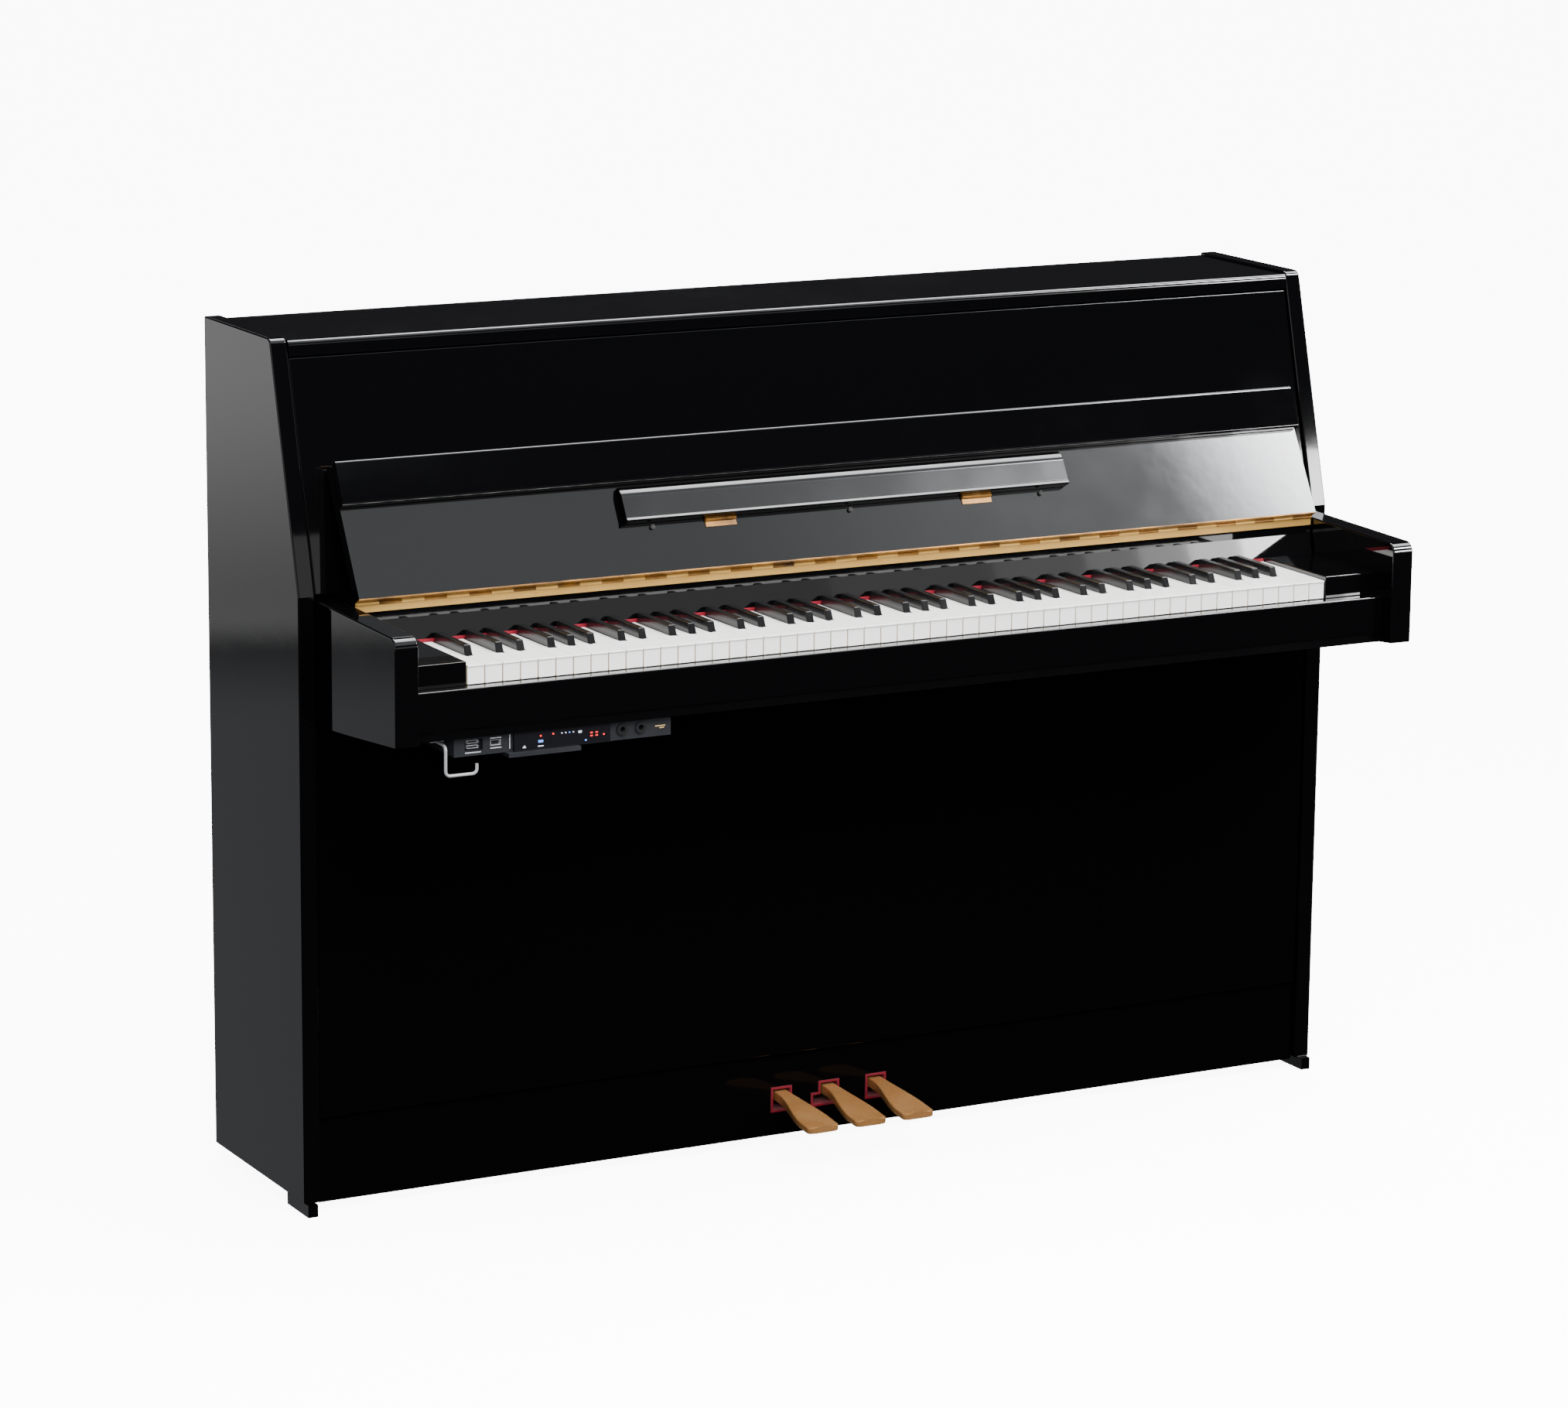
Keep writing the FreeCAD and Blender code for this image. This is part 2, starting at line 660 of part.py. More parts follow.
lip_inner = inner_face + size("lip_leaf_gap")
lip_outer = lip_inner + size("lip_thick")
lip_free = lip_inner + size("lip_edge")
lip = slab("fallboard_lip", "x", [(
    fall_point(lip_line, lip_inner + relief),
    fall_point(lip_line, lip_outer),
    fall_point(lip_line - size("lip_height"), lip_free),
    fall_point(lip_line - size("lip_height"), lip_inner),
    fall_point(lip_line - relief, lip_inner),
)], -board_x, board_x)
lip_corners = straight_edges(lip.Shape, "x", [
    fall_point(lip_line, lip_outer),
    fall_point(lip_line - size("lip_height"), lip_free),
])
rounded(lip, size("arris") + 1, lip_corners)
named(lip, "fallboard_lip")

# The shelf is a crowned moulding, thickest along its middle.
shelf_low = size("shelf_start")
shelf_high = shelf_low + size("shelf_depth")
shelf_back = inner_face + size("leaf_thick")
shelf_crown = shelf_back + size("shelf_thick")
shelf_rim = shelf_back + size("shelf_edge")
shelf_half = size("shelf_width") / 2
shelf_mid = size("shelf_depth") / 2
shelf = slab("music_shelf", "x", [(
    fall_point(shelf_low, shelf_back),
    fall_point(shelf_low, shelf_rim),
    fall_point(shelf_low + shelf_mid / 2, shelf_crown - 1.5),
    fall_point(shelf_low + shelf_mid, shelf_crown),
    fall_point(shelf_low + shelf_mid * 1.5, shelf_crown - 1.5),
    fall_point(shelf_high, shelf_rim),
    fall_point(shelf_high, shelf_back),
)], -shelf_half, shelf_half)
named(shelf, "music_shelf")

# ---------------------------------------------------------------------------
# Hinges
# ---------------------------------------------------------------------------
knuckle = size("knuckle_radius").value
hinge_pin = size("hinge_pin_radius").value
pin_bore = hinge_pin + size("hinge_fit").value
leaf = size("leaf_thick").value


def at_yz(point):
    return (Size.of(point[0]).value, Size.of(point[1]).value)


def tube(x_low, x_high, centre, outer, bore):
    """A hinge knuckle along X."""
    start = FreeCAD.Vector(x_low, centre[0], centre[1])
    along = FreeCAD.Vector(1, 0, 0)
    sleeve = Part.makeCylinder(outer, x_high - x_low, start, along)
    if bore:
        sleeve = sleeve.cut(Part.makeCylinder(bore, x_high - x_low, start, along))
    return sleeve


def leaf_with_knuckles(plate_section, centre, x_low, x_high, pitch, odd, bore):
    """One hinge leaf: a plate with every other knuckle; the other leaf's knuckles get open notches."""
    plate = prism(plate_section, x_low, x_high)
    gap = size("knuckle_gap").value / 2
    count = max(2, round((x_high - x_low) / pitch))
    step = (x_high - x_low) / count
    room = knuckle + 0.4
    for k in range(count):
        start = x_low + k * step
        if k % 2 == odd:
            plate = plate.fuse(tube(start + gap, start + step - gap, centre, knuckle, None))
        else:
            plate = plate.cut(tube(start - gap / 2, start + step + gap / 2, centre, room, None))
    if bore:
        plate = plate.cut(tube(x_low - 1, x_high + 1, centre, bore, None))
    return plate.removeSplitter()


hinge_yz = at_yz((ahead(hinge_reach), hinge_z))
board_half = board_x.value
rail_y = at_yz((ahead(rail_front_reach), hinge_z))[0]
rail_leaf = leaf_with_knuckles([
    (rail_y, hinge_yz[1] + 1.2),
    (rail_y - leaf, hinge_yz[1] + 1.2),
    (rail_y - leaf, hinge_yz[1] - size("leaf_depth").value),
    (rail_y, hinge_yz[1] - size("leaf_depth").value),
], hinge_yz, -board_half, board_half, size("knuckle_length").value, 0, pin_bore)

lid_pin = at_yz((ahead(lid_pin_reach), lid_pin_z))
lid_rear_y = at_yz((ahead(lid_rear_reach), 0))[0]
beam_rear_y = at_yz((ahead(size("frame_back")), 0))[0]
lid_hinge_half = 35
lid_hinge_spots = (-1, 0, 1)
lid_hinge_pitch = inner_x.value * 0.75
lid_fixed = []
lid_moving = []
hinge_pins = [rod_between((-board_half, hinge_yz[0], hinge_yz[1]), (board_half, hinge_yz[0], hinge_yz[1]),
                          hinge_pin)]
for spot in lid_hinge_spots:
    start = spot * lid_hinge_pitch - lid_hinge_half
    finish = spot * lid_hinge_pitch + lid_hinge_half
    lid_fixed.append(leaf_with_knuckles([
        (beam_rear_y, lid_pin[1]),
        (beam_rear_y + leaf, lid_pin[1]),
        (beam_rear_y + leaf, lid_low.value - 40),
        (beam_rear_y, lid_low.value - 40),
    ], lid_pin, start, finish, 14, 0, pin_bore))
    lid_moving.append(leaf_with_knuckles([
        (lid_rear_y, lid_pin[1]),
        (lid_rear_y + leaf, lid_pin[1]),
        (lid_rear_y + leaf, lid_low.value + 2),
        (lid_rear_y, lid_low.value + 2),
    ], lid_pin, start, finish, 14, 1, pin_bore))
    hinge_pins.append(rod_between((start, lid_pin[0], lid_pin[1]), (finish, lid_pin[0], lid_pin[1]),
                                  hinge_pin))
group("case_hinge_leaves", [rail_leaf] + lid_fixed)
group("lid_hinge_leaves", lid_moving)
group("hinge_pins", hinge_pins)


def fall_section(corners):
    return [at_yz(fall_point(along, out)) for along, out in corners]


edge = setoff - size("leaf_thick")
long_leaf = leaf_with_knuckles(
    fall_section([(edge, -1), (setoff, -1), (setoff, inner_face), (edge, inner_face)]),
    hinge_yz, -board_half, board_half, size("knuckle_length").value, 1, pin_bore)
lip_axis = at_yz(fall_point(lip_line, lip_axis_out))
lip_leaf_thick = lip_room - 0.15
lip_leaf_low = lip_line - 16
lip_fixed = leaf_with_knuckles(
    fall_section([(lip_line - 0.6, inner_face), (lip_line - 0.6, inner_face + lip_leaf_thick),
                  (lip_leaf_low, inner_face + lip_leaf_thick), (lip_leaf_low, inner_face)]),
    lip_axis, -board_half + 2, board_half - 2, size("knuckle_length").value, 0, None)
lip_moving = leaf_with_knuckles(
    fall_section([(lip_line - 0.6, lip_inner), (lip_line - 0.6, lip_inner - lip_leaf_thick),
                  (lip_leaf_low, lip_inner - lip_leaf_thick), (lip_leaf_low, lip_inner)]),
    lip_axis, -board_half + 2, board_half - 2, size("knuckle_length").value, 1, None)
shelf_axis_along = shelf_low - size("knuckle_radius") - 0.6
shelf_axis_out = inner_face + size("knuckle_radius") + 0.4
shelf_axis = at_yz(fall_point(shelf_axis_along, shelf_axis_out))
shelf_fixed = []
shelf_moving = []
for sign in (-1, 1):
    start = sign * size("shelf_hinge_x").value - size("shelf_hinge_width").value / 2
    finish = start + size("shelf_hinge_width").value
    shelf_fixed.append(leaf_with_knuckles(
        fall_section([(shelf_axis_along, inner_face), (shelf_axis_along, inner_face + 1.2),
                      (shelf_low - 12, inner_face + 1.2), (shelf_low - 12, inner_face)]),
        shelf_axis, start, finish, 14.3, 0, None))
    shelf_moving.append(leaf_with_knuckles(
        fall_section([(shelf_axis_along, shelf_back + 1.2), (shelf_axis_along, shelf_back + 2.4),
                      (shelf_low, shelf_back + 2.4), (shelf_low, shelf_back + 1.2)]),
        shelf_axis, start, finish, 14.3, 1, None))
group("fallboard_leaves", [long_leaf, lip_fixed] + shelf_fixed)
group("lip_leaf", [lip_moving])
group("shelf_leaves", shelf_moving)

# ---------------------------------------------------------------------------
# Keys: 88 of them, seven naturals and five sharps to the octave, starting on A
# ---------------------------------------------------------------------------
pitch = size("key_pitch").value
gap = size("key_gap").value
key_low = size("key_low").value
key_top = size("key_top").value
cover_low = key_top - size("key_cover").value
key_front_y = ahead(key_front_reach).value
head_rear_y = ahead(key_front_reach - size("key_head")).value
seen_rear_y = ahead(key_front_reach - size("key_seen")).value
tail_y = ahead(size("key_tail_reach")).value
balance_y = ahead(size("balance_reach")).value
capstan_y = ahead(size("capstan_reach")).value
front_pin_y = ahead(size("front_pin_reach")).value
pin_hole = size("pin_radius").value + size("pin_room").value
mortise_hole = pin_hole + 0.6
mortise_height = 16
sharp_pin_y = head_rear_y + size("nose_gap").value + 8
SHARP_AFTER = {"C": 0, "D": 1, "F": 3, "G": 4, "A": 5}
NATURALS = "CDEFGAB"
FIRST_NATURAL = 5
KEY_GROUPS = {"C": "keys_c_e_g", "E": "keys_c_e_g", "G": "keys_c_e_g", "D": "keys_d_f_a", "F": "keys_d_f_a",
              "A": "keys_d_f_a", "B": "keys_b"}
SHARP_GROUPS = {"C": "sharps_c_f_a", "F": "sharps_c_f_a", "A": "sharps_c_f_a", "D": "sharps_d_g",
                "G": "sharps_d_g"}


def sharp_centre(octave_left, letter):
    """Sharps stand on even divisions: five keys over C to E and seven keys over F to B."""
    if letter in "CD":
        step = 3 * pitch / 5
        return octave_left + (1.5 if letter == "C" else 3.5) * step
    step = 4 * pitch / 7
    return octave_left + 3 * pitch + {"F": 1.5, "G": 3.5, "A": 5.5}[letter] * step


def key_stick(x_left, x_right):
    """The wooden stick, with the holes for its balance pin and front pin and its capstan screw."""
    middle = (x_left + x_right) / 2
    half = (size("key_pitch").value * 7 / 12 - size("stick_room").value) / 2
    stick = Part.makeBox(2 * half, tail_y - seen_rear_y, cover_low - key_low,
                         FreeCAD.Vector(middle - half, seen_rear_y, key_low))
    hole = Part.makeCylinder(pin_hole, cover_low - key_low, FreeCAD.Vector(middle, balance_y, key_low))
    capstan = Part.makeCylinder(3, 10, FreeCAD.Vector(middle, capstan_y, cover_low))
    return stick.cut(hole).fuse(capstan)


def natural_key(index, left_sharp, right_sharp):
    """A natural: a full-width head, and a tail that passes between the sharps beside it."""
    x_left = -keys_half.value + index * pitch + gap / 2
    x_right = x_left + pitch - gap
    side = size("sharp_width").value / 2 + size("sharp_clearance").value
    tail_left = x_left if left_sharp is None else left_sharp + side
    tail_right = x_right if right_sharp is None else right_sharp - side
    front = Part.makeBox(x_right - x_left, head_rear_y - key_front_y, cover_low - key_low,
                         FreeCAD.Vector(x_left, key_front_y, key_low))
    head = Part.makeBox(x_right - x_left, head_rear_y - key_front_y, size("key_cover").value,
                        FreeCAD.Vector(x_left, key_front_y, cover_low))
    tail = Part.makeBox(tail_right - tail_left, seen_rear_y - head_rear_y, key_top - key_low,
                        FreeCAD.Vector(tail_left, head_rear_y, key_low))
    whole = front.fuse([head, tail, key_stick(tail_left, tail_right)])
    mortise = Part.makeCylinder(mortise_hole, mortise_height,
                                FreeCAD.Vector((x_left + x_right) / 2, front_pin_y, key_low))
    return whole.cut(mortise).removeSplitter(), (x_left + x_right) / 2, (tail_left + tail_right) / 2


def sharp_key(centre):
    """A sharp: a black block with a sloping nose on its own stick."""
    half = size("sharp_width").value / 2
    high = key_top + size("sharp_rise").value
    nose = head_rear_y + size("nose_gap").value
    section = [(nose, cover_low), (nose, key_top), (nose + size("sharp_slope").value, high),
               (seen_rear_y, high), (seen_rear_y, cover_low)]
    black = prism(section, centre - half, centre + half)
    wood = Part.makeBox(2 * half, seen_rear_y - nose, cover_low - key_low,
                        FreeCAD.Vector(centre - half, nose, key_low))
    whole = black.fuse([wood, key_stick(centre - half, centre + half)])
    mortise = Part.makeCylinder(mortise_hole, mortise_height, FreeCAD.Vector(centre, sharp_pin_y, key_low))
    return whole.cut(mortise).removeSplitter(), centre, centre


key_solids = {}
balance_pins = []
front_pins = []
hammer_places = []
for index in range(52):
    letter = NATURALS[(index + FIRST_NATURAL) % 7]
    octave_left = -keys_half.value + (index - (index + FIRST_NATURAL) % 7) * pitch
    before = NATURALS[(index + FIRST_NATURAL - 1) % 7]
    right = sharp_centre(octave_left, letter) if letter in SHARP_AFTER and index < 51 else None
    left_octave = octave_left if letter != "C" else octave_left - 7 * pitch
    left = sharp_centre(left_octave, before) if before in SHARP_AFTER and index > 0 else None
    solid, pin_x, stick_x = natural_key(index, left, right)
    key_solids.setdefault(KEY_GROUPS[letter], []).append(solid)
    hammer_places.append(stick_x)
    balance_pins.append((stick_x, balance_y))
    front_pins.append((pin_x, front_pin_y))
    if right is not None:
        solid, pin_x, stick_x = sharp_key(right)
        key_solids.setdefault(SHARP_GROUPS[letter], []).append(solid)
        hammer_places.append(stick_x)
        balance_pins.append((stick_x, balance_y))
        front_pins.append((pin_x, sharp_pin_y))
for label, solids in key_solids.items():
    group(label, solids)

# The key frame: front, balance and back rails with their cloth; each key rocks on the balance cloth.
keys_x = keys_half + size("block_gap") - 1
frame_parts = []
for bearing_y, rail, room in ((ahead(size("front_pin_reach") - 4), "front", "front_room"),
                           (ahead(size("balance_reach")), "balance", "balance_room"),
                           (ahead(size("key_tail_reach") + 14), "back", "back_room")):
    half_deep = size(rail + "_rail_depth") / 2
    frame_parts.append(box_between((-keys_x, keys_x), (bearing_y - half_deep, bearing_y + half_deep),
                                   (bed_top, size("key_low") - size(room))))
group("key_frame", frame_parts)

pin_solids = []
for pins, rise, room in ((balance_pins, "balance_pin_rise", "balance_room"),
                         (front_pins, "front_pin_rise", "front_room")):
    length = size(rise).value + size(room).value
    for x, y in pins:
        pin_solids.append(Part.makeCylinder(size("pin_radius").value, length,
                                            FreeCAD.Vector(x, y, key_low - size(room).value)))
group("key_pins", pin_solids)

# ---------------------------------------------------------------------------
# Back: posts and beams, soundboard with ribs and bridges, iron plate, pin block, strings
# ---------------------------------------------------------------------------
frame_x = inner_x - size("seam")
beam_top = lid_low - size("seam") * 3
frame_front_y = ahead(size("frame_depth"))
back_parts = []
for low in (size("beam_low"), beam_top - size("beam_height")):
    back_parts.append(box_between((-frame_x, frame_x), (frame_front_y, ahead(size("frame_back"))),
                                  (low, low + size("beam_height"))))
post_low = size("beam_low") + size("beam_height")
post_high = beam_top - size("beam_height")
post_count = 5
for k in range(post_count):
    centre = (k - (post_count - 1) / 2) * (2 * frame_x.value - size("post_width").value) / (post_count - 1)
    half = size("post_width").value / 2
    back_parts.append(box_between((centre - half, centre + half),
                                  (ahead(size("frame_back") + size("post_depth")), ahead(size("frame_back"))),
                                  (post_low, post_high)))
group("back_frame", back_parts)

sound_x = frame_x - 16
block_low = beam_top - size("pin_block_height")
sound_low = post_low - 20
sound_high = block_low - size("seam") * 2
sound_front = size("frame_depth") + size("sound_thick")
named(block("soundboard", (-sound_x, sound_x), (ahead(sound_front), frame_front_y), (sound_low, sound_high)),
      "soundboard")
named(block("pin_block", (-sound_x, sound_x), (ahead(size("frame_depth") + size("pin_block_depth")),
                                             frame_front_y), (block_low, beam_top)), "pin_block")

# Ribs cross the back of the soundboard at a slant, clear of the beams and posts.
ribs = []
rib_count = 9
rib_rise = 0.55
low_z = post_low.value + 6
high_z = min(post_high.value, sound_high.value) - 6
rib_y = frame_front_y.value
for k in range(rib_count):
    x = -sound_x.value + (k + 0.5) * 2 * sound_x.value / rib_count
    run = (high_z - low_z) * rib_rise / 2
    left = max(x - run, -sound_x.value + 30)
    right = min(x + run, sound_x.value - 30)
    z_left = (low_z + high_z) / 2 + (left - x) / rib_rise
    z_right = (low_z + high_z) / 2 + (right - x) / rib_rise
    half = size("rib_width").value / 2
    corners = [(left - half, z_left), (left + half, z_left), (right + half, z_right), (right - half, z_right)]
    points = [FreeCAD.Vector(u, rib_y, v) for u, v in corners]
    face = Part.Face(Part.makePolygon(points + points[:1]))
    ribs.append(face.extrude(FreeCAD.Vector(0, size("rib_depth").value, 0)))
group("soundboard_ribs", ribs)

# The long bridge climbs from the tenor to the treble; the short bass bridge lies low on the left.
sound_face = ahead(sound_front).value
plate_front = size("frame_depth") + size("pin_block_depth") + size("plate_thick")
plate_rear_y = ahead(plate_front - size("plate_thick")).value
plate_front_y = ahead(plate_front).value
plate_low = size("plate_low").value
string_top = block_low.value + 20
string_span = string_top - plate_low
strings_half = keys_half.value
BASS_NOTES = 28
NOTES = 88
bridge_half = 16


def treble_bridge_z(x):
    """Height of the long bridge: low in the tenor, rising steeply into the treble."""
    share = (x + strings_half * 0.36) / (strings_half * 1.36)
    return plate_low + string_span * (0.16 + 0.62 * share ** 1.4)


def bass_bridge_z(x):
    share = (x + strings_half * 0.62) / (strings_half * 0.7)
    return plate_low + string_span * (0.10 - 0.03 * share)


def bridge(rule, x_low, x_high, front_y, pieces):
    """A bridge standing on the soundboard, following its curve in short straight facets."""
    xs = [x_low + (x_high - x_low) * k / pieces for k in range(pieces + 1)]
    edge_low = [FreeCAD.Vector(x, sound_face, rule(x) - bridge_half) for x in xs]
    edge_high = [FreeCAD.Vector(x, sound_face, rule(x) + bridge_half) for x in reversed(xs)]
    points = edge_low + edge_high
    face = Part.Face(Part.makePolygon(points + points[:1]))
    return face.extrude(FreeCAD.Vector(0, front_y - sound_face, 0))


treble_y = ahead(size("treble_plane")).value
bass_y = ahead(size("bass_plane")).value
treble_left = -strings_half * 0.34
treble_right = strings_half * 0.98
bass_left = -strings_half * 0.62
bass_right = strings_half * 0.06
string_room = 1.6
bridges = [bridge(treble_bridge_z, treble_left, treble_right, treble_y + string_room, 12),
           bridge(bass_bridge_z, bass_left, bass_right, bass_y + string_room, 2)]
group("bridges", bridges)

# The plate is a cast web with a rim that stands on the soundboard's edge; both bridges pass through it.
plate_x = sound_x.value
plate = box_between((-plate_x, plate_x), (plate_front_y, plate_rear_y), (plate_low, beam_top.value))
for x_side in (-1, 1):
    plate = plate.fuse(box_between((x_side * (plate_x - 22), x_side * plate_x), (plate_rear_y, sound_face - 0.2),
                                   (sound_low.value, sound_high.value - 40)))
window = bridge_half + 12
for rule, x_low, x_high, pieces in ((treble_bridge_z, treble_left, treble_right, 12),
                                    (bass_bridge_z, bass_left, bass_right, 2)):
    xs = [x_low - 12 + (x_high - x_low + 24) * k / pieces for k in range(pieces + 1)]
    points = [FreeCAD.Vector(x, plate_rear_y + 1, rule(min(max(x, x_low), x_high)) - window) for x in xs]
    points += [FreeCAD.Vector(x, plate_rear_y + 1, rule(min(max(x, x_low), x_high)) + window)
               for x in reversed(xs)]
    face = Part.Face(Part.makePolygon(points + points[:1]))
    plate = plate.cut(face.extrude(FreeCAD.Vector(0, -size("plate_thick").value - 2, 0)))
group("iron_plate", [plate.removeSplitter()])

strings = []
tuning_pins = []
pin_radius = size("tuning_pin_radius").value
for note in range(NOTES):
    bass = note < BASS_NOTES
    share = note / BASS_NOTES if bass else (note - BASS_NOTES) / (NOTES - BASS_NOTES - 1)
    plane_y = bass_y if bass else treble_y
    if bass:
        top_x = -strings_half * (0.99 - 0.56 * share)
        low_x = -strings_half * (0.60 - 0.62 * share)
        foot_z = bass_bridge_z(low_x) - 26
        wire = 1.5 - 0.8 * share
    else:
        top_x = -strings_half * 0.36 + strings_half * 1.35 * share
        low_x = -strings_half * 0.32 + strings_half * 1.28 * share
        foot_z = treble_bridge_z(low_x) - 26
        wire = 0.6 - 0.2 * share
    pin_z = block_low.value + 34 + 22 * (2 - note % 3)
    tuning_pins.append(rod_between((top_x, plate_front_y, pin_z), (top_x, bass_y - 12, pin_z), pin_radius))
    strings.append(rod_between((top_x, plane_y, pin_z - pin_radius - 0.4), (low_x, plane_y, foot_z), wire))
group("strings", strings)
group("tuning_pins", tuning_pins)

# ---------------------------------------------------------------------------
# Action: brackets and rails, one hammer, wippen and damper for each key
# ---------------------------------------------------------------------------
hammer_y = ahead(size("hammer_reach")).value
hammer_z = size("hammer_line").value
wippen_z = size("wippen_low").value
damper_y = ahead(size("bass_plane") + 4).value
damper_front = damper_y - size("damper_depth").value
action_front = damper_front - size("action_depth").value
wippen_front = capstan_y - 26
butt_front = hammer_y - 7
butt_low = wippen_z + 30
post_inner = keys_half.value + 4
post_outer = post_inner + 8
bracket_half = 1.2
hammer_room = 13.2
action_top = hammer_z - 6


def action_rail(y_low, y_high, z_low, z_high):
    return box_between((-post_outer, post_outer), (y_low, y_high), (z_low, z_high))


# End posts stand on the key bed beside the last keys; thin brackets pass between two hammers where they fit.
action_frame = action_rail(action_front, wippen_front, wippen_z, butt_low + 30)
action_frame = action_frame.fuse([
    action_rail(wippen_front, butt_front, butt_low + 2, butt_low + 14),
    action_rail(hammer_y - 18, hammer_y - 8, hammer_z - 30, action_top),
    action_rail(damper_front - 8, damper_front, hammer_z - 58, hammer_z - 44),
])
for side in (-1, 1):
    action_frame = action_frame.fuse(box_between((side * post_inner, side * post_outer),
                                                 (action_front, damper_front), (bed_top, action_top)))
    spots = [(low + high) / 2 for low, high in zip(hammer_places, hammer_places[1:]) if high - low > hammer_room]
    spot = min(spots, key=lambda x: abs(x - side * keys_half.value / 3))
    action_frame = action_frame.fuse(box_between((spot - bracket_half, spot + bracket_half),
                                                 (action_front, damper_front), (wippen_z, action_top)))
group("action_frame", [action_frame.removeSplitter()])

hammers = []
wippens = []
dampers = []
for note, x in enumerate(hammer_places):
    head = 5 if note < BASS_NOTES else 4.4
    shank = rod_between((x, hammer_y, butt_low + 14), (x, hammer_y, action_top), 2.6)
    butt = box_between((x - 4.4, x + 4.4), (butt_front, hammer_y + 9), (butt_low, butt_low + 16))
    tip = prism([(hammer_y - 6, hammer_z - 8), (hammer_y - 6, hammer_z + 8),
                 (hammer_y + 12, hammer_z + 11), (hammer_y + size("hammer_length").value, hammer_z + 2),
                 (hammer_y + size("hammer_length").value, hammer_z - 2), (hammer_y + 12, hammer_z - 11)],
                x - head, x + head)
    hammers.append(shank.fuse([butt, tip]).removeSplitter())
    wippens.append(box_between((x - 4.4, x + 4.4), (wippen_front, capstan_y + 30), (wippen_z, wippen_z + 12)))
    dampers.append(box_between((x - 4.4, x + 4.4), (damper_front, damper_y),
                               (hammer_z - 62, hammer_z - 34)))
group("hammers", hammers)
group("wippens", wippens)
group("dampers", dampers)

# ---------------------------------------------------------------------------
# Pedals: brass levers pivoted in brackets on the bottom board, with felt-lined slots and rods
# ---------------------------------------------------------------------------
pivot_y = ahead(size("pedal_pivot_reach"))
pivot_z = size("pedal_pivot_height")
lever_low = pivot_z - size("pedal_thick") / 2
lever_top = pivot_z + size("pedal_thick") / 2
tip_y = ahead(size("pedal_tip_reach"))
neck_end_y = ahead(toe_front + 8)
flare_y = ahead(size("pedal_tip_reach") - 34)
tail_end_y = ahead(size("pedal_tail_reach"))


def pedal(label, centre):
    """A pedal: the plan of the lever and its wide toe, cut to the falling line of its side."""
    neck = size("pedal_neck") / 2
    toe = size("pedal_toe") / 2
    plan = slab(label + "_plan", "z", [(
        (centre - neck, tail_end_y), (centre - neck, neck_end_y), (centre - toe, flare_y),
        (centre - toe + 3, tip_y), (centre + toe - 3, tip_y),
        (centre + toe, flare_y), (centre + neck, neck_end_y), (centre + neck, tail_end_y),
    )], lever_low - 30, lever_top)
    flare = straight_edges(plan.Shape, "z", [(centre - toe, flare_y), (centre + toe, flare_y),
                                             (centre - neck, neck_end_y), (centre + neck, neck_end_y)])
    rounded(plan, 22, flare)
    corners = straight_edges(plan.Shape, "z", [(centre - toe + 3, tip_y), (centre + toe - 3, tip_y)])
    rounded(plan, 9, corners)
    drop = size("pedal_tip_drop")
    side = slab(label + "_side", "x", [(
        (tail_end_y, lever_low), (neck_end_y, lever_low),
        (tip_y, lever_top - drop - size("pedal_tip_thick")), (tip_y, lever_top - drop),
        (neck_end_y, lever_top), (tail_end_y, lever_top),
    )], centre - toe, centre + toe)
    whole = doc.addObject("Part::MultiCommon", label + "_whole")
    whole.Shapes = [plan, side]
    bore = doc.addObject("Part::Cylinder", label + "_bore")
    bind(bore, "Radius", size("pedal_pin_radius") + size("hinge_fit"))
    bind(bore, "Height", size("pedal_toe"))
    bore.Placement = FreeCAD.Placement(FreeCAD.Vector(), FreeCAD.Rotation(FreeCAD.Vector(0, 1, 0), 90))
    bind(bore, "Placement.Base.x", centre - toe)
    bind(bore, "Placement.Base.y", pivot_y)
    bind(bore, "Placement.Base.z", pivot_z)
    lever = doc.addObject("Part::Cut", label)
    lever.Base = whole
    lever.Tool = bore
    named(lever, label)


bracket_parts = []
collars = []
ear = 5
for name, place in pedals:
    centre = size("pedal_pitch") * place
    pedal("pedal_" + name, centre)
    inner = size("pedal_neck") / 2 + 0.6
    pivot_pin = rod_between((centre - inner - ear, pivot_y, pivot_z), (centre + inner + ear, pivot_y, pivot_z),
                            size("pedal_pin_radius"))
    bracket = box_between((centre - inner - ear, centre + inner + ear), (pivot_y - 16, pivot_y + 16),
                          (base_top, base_top + 5))
    for sign in (-1, 1):
        bracket = bracket.fuse(box_between((centre + sign * inner, centre + sign * (inner + ear)),
                                           (pivot_y - 11, pivot_y + 11), (base_top, pivot_z + 9)))
    bracket_parts.append(bracket.fuse(pivot_pin).removeSplitter())
    notch = place == 0
    ring = []
    for shrink in (Size.of(0.3), size("collar_thick")):
        corners = slot_outline(centre, notch, shrink)
        points = [FreeCAD.Vector(Size.of(u).value, ahead(toe_front + 1.5).value, v.value) for u, v in corners]
        face = Part.Face(Part.makePolygon(points + points[:1]))
        ring.append(face.extrude(FreeCAD.Vector(0, size("toe_thick").value + 1.5, 0)))
    collars.append(ring[0].cut(ring[1]))
group("pedal_brackets", bracket_parts)
group("pedal_collars", collars)
